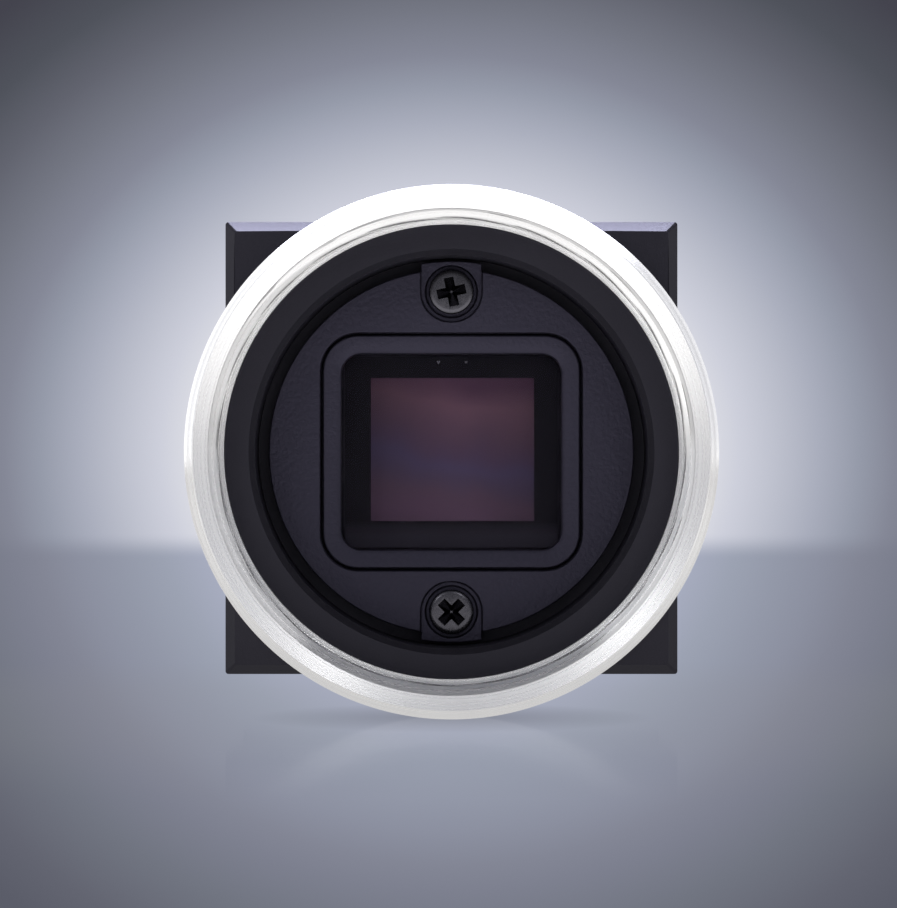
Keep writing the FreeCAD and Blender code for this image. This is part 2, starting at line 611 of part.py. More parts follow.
def make_retainer():
    """Black disc with two lugs, a framed window and a pocket for the filter behind."""
    body = new_body("filter_retainer")
    seat(body, y=RETAINER_FACE)
    disc = cross_section(body, "disc")
    add_circle(disc, "retainer_diameter/2")
    blank = pad(body, disc, RETAINER_THICKNESS)
    chamfer(body, blank, "retainer_edge", at_depth(0.0))

    lug = cross_section(body, "lug", "lug_recess")
    add_lug(lug, "lug_width", "retainer_screw_reach", "lug_reach")
    upper_lug = pad(body, lug, f"{RETAINER_THICKNESS} - lug_recess")
    mirrored(body, [upper_lug], True)

    floor = cross_section(body, "lug_floor")
    add_tongue(floor, "lug_width", "retainer_screw_reach", "lug_reach")
    sunk = pocket(body, floor, "lug_recess")
    mirrored(body, [sunk], False)

    head = cross_section(body, "head_seat", "lug_recess")
    add_circle(head, "small_head/2 + head_gap", y="retainer_screw_reach")
    seat_cut = pocket(body, head, "head_sink")
    mirrored(body, [seat_cut], False)

    shank = cross_section(body, "shank_hole", "lug_recess")
    add_circle(shank, SHANK_HOLE, y="retainer_screw_reach")
    drilled = pocket(body, shank, RETAINER_THICKNESS)
    mirrored(body, [drilled], False)

    groove = cross_section(body, "groove")
    inner = "2*(window_lip + frame_width)"
    outer = "2*(window_lip + frame_width + groove_width)"
    for margin in (outer, inner):
        add_rounded(groove, f"window_width + {margin}", f"window_height + {margin}",
                    f"window_corner + {margin}/2")
    pocket(body, groove, "groove_depth")

    window = cross_section(body, "window")
    add_rounded(window, "window_width", "window_height", "window_corner")
    opening = pocket(body, window, RETAINER_THICKNESS)
    width, height = now("window_width"), now("window_height")
    chamfer(body, opening, "window_lip", lambda edge: (
        at_depth(0.0)(edge)
        and abs(edge.CenterOfMass.x) < width / 2 + 1e-3
        and abs(edge.CenterOfMass.z) < height / 2 + 1e-3))

    filter_pocket = cross_section(body, "filter_pocket", "retainer_ledge")
    add_rounded(filter_pocket, "filter_width + 2*filter_gap", "filter_height + 2*filter_gap",
                "filter_corner + filter_gap")
    pocket(body, filter_pocket, RETAINER_THICKNESS)


def make_filter_frame(name, thickness, face):
    """A thin rectangular frame that bears on the edge of the filter."""
    body = new_body(name)
    seat(body, y=face)
    outline = cross_section(body, f"{name}_outline")
    add_rounded(outline, "filter_width", "filter_height", "filter_corner")
    add_rounded(outline, "filter_width - 2*gasket_band", "filter_height - 2*gasket_band",
                "filter_corner - gasket_band")
    pad(body, outline, thickness)


def make_filter():
    body = new_body("filter_glass")
    seat(body, y=FILTER_FACE)
    outline = cross_section(body, "filter_outline")
    add_rounded(outline, "filter_width", "filter_height", "filter_corner")
    pad(body, outline, "filter_thickness")


def screw_profile(body, name, shank):
    """Half of a pan head screw: a slightly domed head in front, its shank behind."""
    profile = half_section(body, name)
    dome = "small_head_height/4"
    add_outline(profile, [
        ("0", "-small_head_height"),
        ("small_head/2 - small_head_height/2", "-small_head_height"),
        ("small_head/2", f"-small_head_height + {dome}"),
        ("small_head/2", "0"),
        ("shank_diameter/2", "0"),
        ("shank_diameter/2", shank),
        ("0", shank),
    ])
    return profile


def cross_recess(body, name, turn):
    """Two crossing slots in the head, turned about the screw's axis."""
    for slot, quarter in (("first", 0), ("second", 90)):
        outline = cross_section(body, f"{name}_{slot}", "-small_head_height")
        bind(outline, AttachmentOffset__Rotation__Angle=f"{turn} + {quarter}")
        add_rectangle(outline, "recess_span", "recess_slot")
        pocket(body, outline, "recess_depth")


def make_retainer_screws():
    """Two M1.4 screws in one body, the lower one turned the other way up."""
    blanks = []
    for name, turn in (("upper", "upper_screw_turn"), ("lower", "lower_screw_turn")):
        blank = doc.addObject("PartDesign::Body", f"{name}_retainer_screw")
        turned(blank, screw_profile(blank, f"{name}_screw_profile", "retainer_screw_length"))
        cross_recess(blank, f"{name}_recess", turn)
        blanks.append(blank)
    seat(blanks[0], z="retainer_screw_reach")
    seat(blanks[1], z="-retainer_screw_reach")
    pair = doc.addObject("Part::Compound", "retainer_screws")
    pair.Label = "retainer_screws"
    pair.Links = blanks
    seat(pair, y=f"{RETAINER_FACE} + lug_recess + head_sink")
    parts.append(pair)


# ---- Image sensor ----

def make_sensor():
    body = new_body("sensor_package")
    seat(body, y=PACKAGE_RIM)
    outline = cross_section(body, "package_outline")
    add_rectangle(outline, "package_width", "package_height")
    pad(body, outline, "package_rim + package_floor")
    recess = cross_section(body, "die_recess")
    add_rectangle(recess, "package_width - 2*package_wall", "package_height - 2*package_wall")
    pocket(body, recess, "package_rim")

    block("sensor_die", "die_width", "die_thickness", "die_height", y="flange_focal")
    block("sensor_cover_glass", "package_width - 2*cover_inset", "cover_thickness",
          "package_height - 2*cover_inset", y=f"{PACKAGE_RIM} - cover_thickness")


# ---- Circuit boards ----

def make_board(name, thickness, face):
    body = new_body(name)
    seat(body, y=face, z="body_rise")
    outline = cross_section(body, f"{name}_outline")
    add_rounded(outline, BOARD_WIDTH, BOARD_HEIGHT, "board_corner")
    pad(body, outline, thickness)
    hole = cross_section(body, f"{name}_hole")
    add_circle(hole, SHANK_HOLE, f"-{STACK_ACROSS}/2", f"-{STACK_UP}/2")
    drilled = pocket(body, hole, thickness)
    at_corners(body, drilled, False, STACK_ACROSS, STACK_UP)


def make_standoffs(name, face, length, stud, tapped):
    """Four turned standoffs, each with a stud in front and a tapped hole behind."""
    body = new_body(name, loose=True)
    seat(body, f"-{STACK_ACROSS}/2", face, f"body_rise - {STACK_UP}/2")
    profile = half_section(body, f"{name}_profile")
    add_outline(profile, [
        ("0", f"-({stud})"),
        ("shank_diameter/2", f"-({stud})"),
        ("shank_diameter/2", "0"),
        ("standoff_diameter/2", "0"),
        ("standoff_diameter/2", length),
        (SHANK_HOLE, length),
        (SHANK_HOLE, f"{length} - ({tapped})"),
        ("0", f"{length} - ({tapped})"),
    ])
    one = turned(body, profile)
    at_corners(body, one, True, STACK_ACROSS, STACK_UP)


def make_boards():
    make_board("sensor_board", "sensor_board_thickness", SENSOR_BOARD)
    make_board("processor_board", "processor_board_thickness", PROCESSOR_BOARD)
    make_board("network_board", "network_board_thickness", NETWORK_BOARD)

    inner_tap = "stud_engagement + tip_room/2"
    make_standoffs("front_standoffs", f"{SENSOR_BOARD} + sensor_board_thickness", "front_spacing",
                   "sensor_board_thickness + housing_stud", inner_tap)
    make_standoffs("middle_standoffs", f"{PROCESSOR_BOARD} + processor_board_thickness",
                   "middle_spacing", "processor_board_thickness + stud_engagement", inner_tap)
    make_standoffs("rear_standoffs", NETWORK_REAR, f"{SLEEVE_REAR} - plate_step - {NETWORK_REAR}",
                   "network_board_thickness + stud_engagement", "plate_screw_grip + tip_room")

    block("front_board_connector", "connector_length", "front_spacing", "connector_width",
          y=f"{SENSOR_BOARD} + sensor_board_thickness", z=f"body_rise + {CONNECTOR_OFFSET}")
    block("rear_board_connector", "connector_length", "middle_spacing", "connector_width",
          y=f"{PROCESSOR_BOARD} + processor_board_thickness", z=f"body_rise - {CONNECTOR_OFFSET}")
    block("processor_chip", "processor_size", "processor_thickness", "processor_size",
          y=f"{PROCESSOR_BOARD} - processor_thickness", z="body_rise - processor_drop")
    block("memory_chip", "memory_width", "memory_thickness", "memory_height",
          y=f"{PROCESSOR_BOARD} + processor_board_thickness", z="body_rise + memory_rise")
    block("network_chip", "phy_size", "phy_thickness", "phy_size",
          y=f"{NETWORK_BOARD} - phy_thickness", z="body_rise + phy_rise")
    block("power_transformer", "transformer_width", "transformer_length", TRANSFORMER_HEIGHT,
          y=NETWORK_REAR, z=f"{TRANSFORMER_FLOOR} + {TRANSFORMER_HEIGHT}/2")


# ---- Network jack ----

def make_jack():
    """Shielded eight way jack: sheet shield, insulator, springs and two light pipes."""
    shell = new_body("jack_shield")
    seat(shell, y=NETWORK_REAR, z=JACK_MIDDLE)
    outside = cross_section(shell, "shield_outside")
    add_rectangle(outside, JACK_WIDTH, "jack_height")
    pad(shell, outside, "jack_length")
    inside = cross_section(shell, "shield_inside", "shield")
    add_rectangle(inside, f"{JACK_WIDTH} - 2*shield", "jack_height - 2*shield")
    pocket(shell, inside, "jack_length")

    core = new_body("jack_insulator")
    seat(core, y=f"{NETWORK_REAR} + shield", z=JACK_MIDDLE)
    solid = cross_section(core, "insulator_outside")
    add_rectangle(solid, INSULATOR_WIDTH, INSULATOR_HEIGHT)
    pad(core, solid, INSULATOR_LENGTH)
    cavity = cross_section(core, "plug_cavity", f"{INSULATOR_LENGTH} - plug_depth")
    floor = f"{PLUG_TOP} - plug_height"
    step = f"{floor} - latch_height"
    bottom = f"{step} - tongue_height"
    add_outline(cavity, [
        ("plug_width/2", PLUG_TOP),
        ("-plug_width/2", PLUG_TOP),
        ("-plug_width/2", floor),
        ("-latch_width/2", floor),
        ("-latch_width/2", step),
        ("-tongue_width/2", step),
        ("-tongue_width/2", bottom),
        ("tongue_width/2", bottom),
        ("tongue_width/2", step),
        ("latch_width/2", step),
        ("latch_width/2", floor),
        ("plug_width/2", floor),
    ])
    pocket(core, cavity, "plug_depth")

    lamp_x = f"{INSULATOR_WIDTH}/2 - lamp_edge - lamp_width/2"
    lamp_z = f"{INSULATOR_HEIGHT}/2 - lamp_edge - lamp_height/2"
    socket = cross_section(core, "lamp_socket", f"{INSULATOR_LENGTH} - lamp_length")
    add_rectangle(socket, "lamp_width", "lamp_height", lamp_x, lamp_z)
    right = pocket(core, socket, "lamp_length")
    mirrored(core, [right], False, "YZ_Plane")

    lamps = new_body("jack_light_pipes", loose=True)
    seat(lamps, y=f"{NETWORK_REAR} + shield + {INSULATOR_LENGTH} - lamp_length", z=JACK_MIDDLE)
    lamp = cross_section(lamps, "lamp")
    add_rectangle(lamp, "lamp_width", "lamp_height", lamp_x, lamp_z)
    right = pad(lamps, lamp, "lamp_length")
    mirrored(lamps, [right], True, "YZ_Plane")

    springs = new_body("jack_contacts", loose=True)
    row = "contact_pitch*(contact_count - 1)"
    seat(springs, f"-{row}/2 - contact_width/2", JACK_MOUTH, f"{JACK_MIDDLE} + {PLUG_TOP}")
    side = new_sketch(springs, "YZ_Plane", "spring_side")
    start, end = "-insulator_inset - contact_start", "-insulator_inset - contact_start - contact_run"
    add_outline(side, [
        (start, "0"),
        (end, "-contact_fall"),
        (f"{end} - contact_thickness", "-contact_fall"),
        (f"{start} - 2*contact_thickness", "0"),
    ])
    one = pad(springs, side, "contact_width", forward=True)
    in_row(springs, one, True, "contact_pitch", "contact_count")


# ---- Signal header and status lamp ----

def make_header():
    """Eight pin shrouded header on a small board, joined to the network board by a riser."""
    shroud = new_body("io_header")
    seat(shroud, HEADER_SHIFT, HEADER_BACK, HEADER_MIDDLE)
    outside = cross_section(shroud, "header_outside")
    add_rectangle(outside, HEADER_WIDTH, HEADER_HEIGHT)
    pad(shroud, outside, "header_length")
    inside = cross_section(shroud, "header_socket", "header_length - header_depth")
    add_rectangle(inside, f"{HEADER_WIDTH} - 2*header_wall", f"{HEADER_HEIGHT} - 2*header_wall")
    pocket(shroud, inside, "header_depth")
    key = cross_section(shroud, "header_key", "header_length - header_depth")
    add_rectangle(key, "key_width", "header_wall", "key_spacing/2", f"{HEADER_HEIGHT}/2 - header_wall/2")
    slot = pocket(shroud, key, "header_depth")
    mirrored(shroud, [slot], False, "YZ_Plane")

    pins = new_body("io_header_pins", loose=True)
    row = "pin_pitch*(pin_count - 1)"
    seat(pins, f"{HEADER_SHIFT} - {row}/2", f"{HEADER_MOUTH} - header_depth", HEADER_MIDDLE)
    pin = cross_section(pins, "header_pin")
    add_rectangle(pin, "pin_size", "pin_size")
    in_row(pins, pad(pins, pin, "pin_length"), True, "pin_pitch", "pin_count")

    block("io_board", IO_BOARD_WIDTH, "io_board_thickness", IO_BOARD_HEIGHT, y=IO_BOARD, z=HEADER_MIDDLE)

    riser_row = "riser_pitch*(pin_count - 1)"
    riser = new_body("io_riser_pins", loose=True)
    seat(riser, f"-{riser_row}/2", NETWORK_REAR, RISER_RISE)
    long_pin = cross_section(riser, "riser_pin_outline")
    add_rectangle(long_pin, "riser_pin", "riser_pin")
    one = pad(riser, long_pin, f"{IO_BOARD} - {NETWORK_REAR}")
    in_row(riser, one, True, "riser_pitch", "pin_count")

    strip = new_body("io_riser_base")
    seat(strip, y=NETWORK_REAR, z=RISER_RISE)
    bar = cross_section(strip, "riser_bar")
    add_rectangle(bar, f"{riser_row} + riser_pitch", "riser_strip")
    pad(strip, bar, "riser_base")
    hole = cross_section(strip, "riser_hole")
    add_rectangle(hole, "riser_pin", "riser_pin", f"-{riser_row}/2")
    one = pocket(strip, hole, "riser_base")
    in_row(strip, one, False, "riser_pitch", "pin_count")

    block("status_led", "led_width", "led_length", "led_height",
          x=PIPE_SHIFT, y=HEADER_BACK, z=HEADER_MIDDLE)
    pipe = new_body("status_light_pipe")
    seat(pipe, PIPE_SHIFT, f"{HEADER_BACK} + led_length", HEADER_MIDDLE)
    rod = cross_section(pipe, "pipe_outline")
    add_circle(rod, "pipe_diameter/2")
    pad(pipe, rod, f"{PLATE_FACE} - {HEADER_BACK} - led_length")


# ---- Case ----

def make_sleeve():
    """Square sleeve that slips over the housing's rear lip and carries the rear plate."""
    body = new_body("case_sleeve")
    seat(body, y=SLEEVE_FRONT, z="body_rise")
    outline = cross_section(body, "sleeve_outline")
    add_rounded(outline, "body_width", "body_height", CASE_CORNER)
    blank = pad(body, outline, SLEEVE_LENGTH)
    chamfer(body, blank, "seam_edge", at_depth(0.0))
    inside = cross_section(body, "sleeve_inside")
    add_rounded(inside, CAVITY_WIDTH, CAVITY_HEIGHT, "cavity_corner")
    pocket(body, inside, SLEEVE_LENGTH)
    recess = cross_section(body, "lip_recess")
    margin = "2*lip_gap"
    add_rounded(recess, f"{LIP_WIDTH} + {margin}", f"{LIP_HEIGHT} + {margin}",
                "cavity_corner + lip_thickness + lip_gap")
    pocket(body, recess, "lip_length + lip_gap")


def make_rear_plate():
    """Plate with openings for the jack, the header and the status lamp."""
    body = new_body("rear_plate")
    seat(body, y=SLEEVE_REAR, z="body_rise")
    outline = cross_section(body, "plate_outline")
    add_rounded(outline, "body_width", "body_height", CASE_CORNER)
    blank = pad(body, outline, "plate_thickness")
    chamfer(body, blank, "plate_edge", at_depth(now("plate_thickness")))
    step = cross_section(body, "step", "-plate_step")
    margin = "2*lip_gap"
    add_rounded(step, f"{CAVITY_WIDTH} - {margin}", f"{CAVITY_HEIGHT} - {margin}", "cavity_corner - lip_gap")
    pad(body, step, "plate_step")

    through = "plate_step + plate_thickness"
    openings = cross_section(body, "openings", "-plate_step")
    add_rectangle(openings, f"{JACK_WIDTH} + 2*jack_gap", "jack_height + 2*jack_gap",
                  y=f"{JACK_MIDDLE} - body_rise")
    add_rectangle(openings, f"{HEADER_WIDTH} + 2*jack_gap", f"{HEADER_HEIGHT} + 2*jack_gap",
                  HEADER_SHIFT, f"{HEADER_MIDDLE} - body_rise")
    add_circle(openings, "pipe_diameter/2 + pipe_gap", PIPE_SHIFT, f"{HEADER_MIDDLE} - body_rise")
    pocket(body, openings, through)
    hole = cross_section(body, "plate_hole", "-plate_step")
    add_circle(hole, SHANK_HOLE, f"-{STACK_ACROSS}/2", f"-{STACK_UP}/2")
    drilled = pocket(body, hole, through)
    at_corners(body, drilled, False, STACK_ACROSS, STACK_UP)


def make_plate_screws():
    """Four M1.4 pan head screws through the rear plate into the rear standoffs."""
    body = new_body("rear_plate_screws", loose=True)
    seat(body, f"-{STACK_ACROSS}/2", PLATE_FACE, f"body_rise - {STACK_UP}/2")
    grip = "plate_thickness + plate_step + plate_screw_grip"
    profile = half_section(body, "plate_screw_profile")
    add_outline(profile, [
        ("0", f"-({grip})"),
        ("shank_diameter/2", f"-({grip})"),
        ("shank_diameter/2", "0"),
        ("small_head/2", "0"),
        ("small_head/2", "small_head_height*3/4"),
        ("small_head/2 - small_head_height/2", "small_head_height"),
        ("0", "small_head_height"),
    ])
    one = turned(body, profile)
    at_corners(body, one, True, STACK_ACROSS, STACK_UP)


make_ring()
make_front_housing()
make_retainer()
make_filter_frame("filter_gasket", "gasket_thickness", f"{FILTER_FACE} - gasket_thickness")
make_filter()
make_filter_frame("filter_seal", "seal_thickness", "well_seat - seal_thickness")
make_retainer_screws()
make_sensor()
make_boards()
make_jack()
make_header()
make_sleeve()
make_rear_plate()
make_plate_screws()
doc.recompute()

for thing in doc.Objects:
    if {"Invalid", "Error"} & set(thing.State):
        raise RuntimeError(f"{thing.Label} is {thing.State}")
for part in parts:
    if part.Shape.isNull() or not part.Shape.isValid():
        raise RuntimeError(f"{part.Label} has no valid shape")

os.makedirs("parts", exist_ok=True)
for part in parts:
    part.Shape.exportStep(f"parts/{part.Label}.step")
    print(f"{part.Label}: {len(part.Shape.Solids)} solid(s), {part.Shape.Volume:.2f} mm3")
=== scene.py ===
# %% [markdown]
# A machine vision camera seen from its lens side: a bare aluminium lens ring on a
# small black anodised case. The first lines bring in the measured frame, in metres,
# with the lens flange at y = 0 and the optical axis along +y. Every piece takes its
# place from that frame, so what is modelled here fits what was machined there.

# %% Load the frame
import bpy
import bmesh
import math
from functools import partial
from mathutils import Matrix, Vector


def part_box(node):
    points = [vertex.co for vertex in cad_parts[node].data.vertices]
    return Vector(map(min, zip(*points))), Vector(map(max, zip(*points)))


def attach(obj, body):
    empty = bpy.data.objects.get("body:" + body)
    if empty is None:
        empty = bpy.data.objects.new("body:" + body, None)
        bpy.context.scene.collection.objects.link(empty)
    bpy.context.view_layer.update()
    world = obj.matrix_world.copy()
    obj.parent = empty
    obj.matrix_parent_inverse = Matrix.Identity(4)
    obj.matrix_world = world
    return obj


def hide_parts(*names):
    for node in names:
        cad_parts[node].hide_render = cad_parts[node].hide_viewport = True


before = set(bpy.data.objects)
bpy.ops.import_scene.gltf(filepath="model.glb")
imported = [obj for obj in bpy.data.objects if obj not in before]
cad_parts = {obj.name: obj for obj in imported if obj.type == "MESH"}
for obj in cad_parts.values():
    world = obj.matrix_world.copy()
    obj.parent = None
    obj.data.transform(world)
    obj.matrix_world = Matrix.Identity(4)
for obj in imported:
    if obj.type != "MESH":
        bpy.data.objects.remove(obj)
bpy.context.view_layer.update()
MM = 0.001

# %% [markdown]
# Boxes of the frame's pieces give the places that matter. Reading them once, in
# millimetres, keeps the numbers below close to what a workshop drawing would say.

# %% Measure the frame
def span(name):
    """Lowest and highest corner of a piece of the frame, in millimetres."""
    low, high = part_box(name)
    return [c / MM for c in low], [c / MM for c in high]


(_, FLANGE, _), (RING_R, RING_END, _) = span("c_mount_ring")
(BODY_LEFT, SEAM, BODY_LOW), (BODY_RIGHT, SLEEVE_END, BODY_TOP) = span("case_sleeve")
BOSS_FACE = span("front_housing")[0][1]
PLATE_FACE = span("rear_plate")[1][1]
RETAINER_FACE = span("filter_retainer")[0][1]
_, WELL_FLOOR, LUG_REACH = span("filter_retainer")[1]
HEAD_TOP = span("retainer_screws")[0][1]
REAR_HEAD = span("rear_plate_screws")[1][1]
BODY_W, BODY_H = BODY_RIGHT - BODY_LEFT, BODY_TOP - BODY_LOW
MIDDLE = (BODY_LOW + BODY_TOP) / 2
print("case", BODY_W, "x", BODY_H, "seam at", round(SEAM, 3), "plate at", round(PLATE_FACE, 3))

# %% [markdown]
# The camera stands level and far off, as a long lens needs: almost no perspective, so
# the ring hides most of the square case behind it. It is a hair off the optical axis,
# which is why the ring isn't quite in the middle.

# %% Camera
DISTANCE, ASIDE, BELOW, LENS = 392.0, -0.157, -0.115, 297.5
eye = bpy.data.objects.new("eye", bpy.data.cameras.new("eye"))
eye.data.lens = LENS
eye.data.clip_start, eye.data.clip_end = 0.01, 20
eye.location = (ASIDE * MM, -DISTANCE * MM, BELOW * MM)
eye.rotation_euler = (math.radians(90), 0, 0)
bpy.context.collection.objects.link(eye)
bpy.context.scene.camera = eye
bpy.context.scene.view_settings.view_transform = "Standard"
print("camera", DISTANCE, "mm in front of the flange")

# %% [markdown]
# Small helpers build every finish. Colours are given as a screen shows them and are
# turned into light values. A node is added with its settings and links in one go, and
# a node given as an input is linked from its first output, so a finish reads as a sum.

# %% Material helpers
def srgb(text):
    """A colour written as hex, as linear red, green, blue and alpha."""
    parts = [int(text[i:i + 2], 16) / 255 for i in (1, 3, 5)]
    return [c / 12.92 if c <= 0.04045 else ((c + 0.055) / 1.055) ** 2.4 for c in parts] + [1.0]


def add(tree, kind, inputs=(), **settings):
    """Add a shader node: its inputs are values, sockets or nodes, in order or by name."""
    node = tree.nodes.new("ShaderNode" + kind)
    for key, value in settings.items():
        setattr(node, key, value)
    for key, value in inputs.items() if isinstance(inputs, dict) else enumerate(inputs):
        if isinstance(value, bpy.types.Node):
            value = value.outputs[0]
        if isinstance(value, bpy.types.NodeSocket):
            tree.links.new(value, node.inputs[key])
        else:
            node.inputs[key].default_value = value
    return node


finishes = {}


def start(name):
    """A new finish, listed by name: add() bound to its tree, and object coordinates."""
    finishes[name] = bpy.data.materials.new(name)
    finishes[name].use_nodes = True
    finishes[name].node_tree.nodes.clear()
    node = partial(add, finishes[name].node_tree)
    return node, node("TexCoord").outputs["Object"]


print("mid grey on a screen is", round(srgb("#808080")[0], 3), "of white's light")

# %% [markdown]
# Turned aluminium, left bare: a lathe leaves fine concentric rings that stretch each
# highlight across them. The rings are a noise of the distance from the axis, 0.15 mm
# wide and finer, and the shine is anisotropic, with a tangent that runs round the
# axis. On the face the feed marks lean inwards like a shallow dish, too fine to cut
# one by one, so its upper half mirrors the bright floor and its lower half the lamps.
# A map range takes its value, then the range it comes from and the range it goes to.

# %% Machined aluminium
DISH_R, DISH_RIM = 12.7, 13.6

node, place = start("machined_aluminium")
parts = node("SeparateXYZ", [place]).outputs
flat = node("CombineXYZ", {"X": parts["X"], "Z": parts["Z"]})
radius = node("VectorMath", [flat], operation="LENGTH").outputs["Value"]
cloud = node("TexNoise", {"Vector": place, "Scale": 300.0, "Detail": 4.0})
far = node("Math", (radius, 6500.0), operation="MULTIPLY")
rings = node("TexNoise", {"W": far, "Scale": 1.0, "Detail": 4.0}, noise_dimensions="1D")
grain = node("TexNoise", {"Vector": place, "Scale": 9000.0, "Detail": 2.0})
height = node("Math", (rings, grain), operation="ADD")
dish = node("MapRange", (radius, DISH_R * MM, DISH_RIM * MM, 0.0, 0.0009))
lean = node("Bump", {"Height": dish, "Strength": 1.0, "Distance": 0.14})
bump = node("Bump", {"Height": height, "Strength": 0.16, "Distance": 0.02 * MM, "Normal": lean})
tint = node("Mix", {"Factor": cloud, "A": srgb("#f1f0f1"), "B": srgb("#fbfbfb")},
            data_type="RGBA").outputs["Result"]
rough = node("MapRange", (rings, 0.3, 0.7, 0.24, 0.34))
around = node("VectorMath", (place, (0, 1, 0)), operation="CROSS_PRODUCT")
shader = node("BsdfPrincipled", {
    "Base Color": tint, "Metallic": 1.0, "Roughness": rough, "Normal": bump,
    "Tangent": around, "Anisotropic": 0.78, "Anisotropic Rotation": 0.25})
node("OutputMaterial", [shader])
print("made", *finishes)

# %% [markdown]
# Most other finishes differ only in their colours, the size of their grain and how
# that grain catches light: blasted and anodised metal, spark-eroded moulds, ceramic,
# lacquer. One recipe takes those in millimetres, so each finish is a line of facts.

# %% A recipe for grained finishes
def grained(name, dark, bright, grain, rough, depth, **extra):
    """A finish with a fine grain of that size and depth in mm, between two colours."""
    node, place = start(name)
    cloud = node("TexNoise", {"Vector": place, "Scale": 120.0, "Detail": 3.0})
    fine = node("TexNoise", {"Vector": place, "Scale": 1 / (grain * MM), "Detail": 2.0, "Roughness": 0.6})
    most, rest = node("MapRange", (fine, 0.3, 0.7, 0.0, 0.6)), node("MapRange", (cloud, 0.3, 0.7, 0.0, 0.4))
    blend = node("Math", (most, rest), operation="ADD")
    tint = node("Mix", {"Factor": blend, "A": srgb(dark), "B": srgb(bright)},
                data_type="RGBA").outputs["Result"]
    bump = node("Bump", {"Height": fine, "Strength": 0.6, "Distance": depth * MM})
    shine = node("MapRange", (blend, 0.0, 1.0, *rough))
    shader = node("BsdfPrincipled", {"Base Color": tint, "Roughness": shine, "Normal": bump})
    for socket, value in extra.items():
        shader.inputs[socket.replace("_", " ")].default_value = value
    node("OutputMaterial", [shader])


print("a finish is a name, two colours, a grain, a roughness and a depth")

# %% [markdown]
# The metals come first. Anodising dyes the aluminium under a clear hard skin, so it
# is no bare metal to the eye: a dark body with a satin gloss on top. The rest are
# plain metals whose colour is the colour of what they mirror.

# %% Metal finishes
# Aluminium, blasted and anodised black: satin, with a faint violet in its sheen.
grained("black_anodised", "#151419", "#1e1d23", 0.09, (0.34, 0.48), 0.012,
        Specular_IOR_Level=0.38, Specular_Tint=srgb("#d2cfe4"))
# The same, burnished brighter, for the upper front chamfer only: partly a burnished edge, partly a painted
# highlight of the light from above; it mirrors the lamp above.
grained("anodised_edge_painted_highlight", "#6b6a74", "#787781", 0.05, (0.26, 0.36), 0.006, Metallic=1.0)
# Steel screws, chemically blackened and oiled: dark grey with sharp small glints.
grained("black_steel", "#3f3e43", "#515056", 0.07, (0.2, 0.34), 0.005, Metallic=1.0)
# Standoffs of brass, nickel plated: a warm pale grey, almost smooth.
grained("nickel_brass", "#b9b3a4", "#d3cfc4", 0.06, (0.22, 0.34), 0.003, Metallic=1.0)
# The jack's can, tin plated sheet: cool grey and softly mirroring.
grained("plated_shield", "#b4b5b8", "#d5d6d8", 0.07, (0.18, 0.32), 0.003, Metallic=1.0)
# Contacts and pins, gold plated over nickel: warm yellow and the smoothest of all.
grained("gold_plating", "#d9a441", "#f0c96c", 0.03, (0.18, 0.28), 0.002, Metallic=1.0)
print("finishes", *finishes)

# %% [markdown]
# Then the moulded, baked and lacquered parts. They are all nearly black or dark green,
# so what tells them apart is the size of the grain and how dry the gloss looks.

# %% Plastic, ceramic and lacquer finishes
# Retainer, nylon from a leather-grained mould, drawn coarser than it is to show:
# a soft mottled sheen.
grained("black_retainer", "#1b1a22", "#282630", 0.24, (0.36, 0.52), 0.05,
        Specular_IOR_Level=0.46, Specular_Tint=srgb("#cdc8ec"))
# Sensor package, fired alumina with a dark pigment: matt, faintly warm.
grained("package_ceramic", "#2a272c", "#38343a", 0.03, (0.5, 0.6), 0.003)
# Boards, green solder mask over copper: a wet gloss with a slow ripple.
grained("solder_mask", "#0d3b22", "#14492c", 0.4, (0.25, 0.35), 0.004)
# Chips, moulded epoxy filled with silica: dull charcoal.
grained("chip_plastic", "#17171a", "#232326", 0.05, (0.5, 0.6), 0.004)
# Transformer, pressed and fired ferrite: dry, rough and slightly brown.
grained("ferrite", "#232221", "#383634", 0.08, (0.55, 0.75), 0.008)
# Gaskets, die-cut rubber: nearly no shine at all.
grained("black_rubber", "#101012", "#1a1a1c", 0.05, (0.65, 0.8), 0.006)
# Jack core and header, glass-filled nylon from a spark-eroded mould: an even fine matt.
grained("black_plastic", "#17171a", "#212124", 0.12, (0.42, 0.58), 0.01)
print("finishes", len(finishes))

# %% [markdown]
# The image sensor is a silicon die. Millions of light-sensitive cells under tiny
# lenses act as a grating, so the middle shines reddish purple with a soft blue band.
# The cells are far too fine to draw, so that shine is a painted reflection in the finish's
# colour: bands over the height, bent a little by a slow cloud, and darker towards the left and right.

# %% Sensor cells
node, place = start("sensor_cells")
parts = node("SeparateXYZ", [place]).outputs
cloud = node("TexNoise", {"Vector": place, "Scale": 260.0, "Detail": 1.5})
slant = node("MapRange", (parts["X"], -0.0045, 0.0045, -0.0006, 0.0006))
bend = node("MapRange", (cloud, 0.3, 0.7, -0.0006, 0.0006))
drift = node("Math", (slant, bend), operation="ADD")
level = node("Math", (parts["Z"], drift), operation="ADD")
share = node("MapRange", (level, -0.0038, 0.0040, 0.0, 1.0))
# These bands are a painted reflection: the grating's shine, given as colour.
bands = node("ValToRGB", [share])
stops = bands.color_ramp.elements
for position, colour in ((0.15, "#675361"), (0.27, "#5d5063"), (0.38, "#5d536c"),
                         (0.47, "#604f63"), (0.6, "#695361"), (0.85, "#7d5f6a")):
    stops.new(position).color = srgb(colour)
stops[0].color, stops[-1].color = srgb("#6b5465"), srgb("#64495a")
left = node("MapRange", (parts["X"], -0.0044, -0.0002, 0.62, 1.0))
right = node("MapRange", (parts["X"], 0.0008, 0.0046, 1.0, 0.7))
fade = node("Math", (left, right), operation="MULTIPLY")
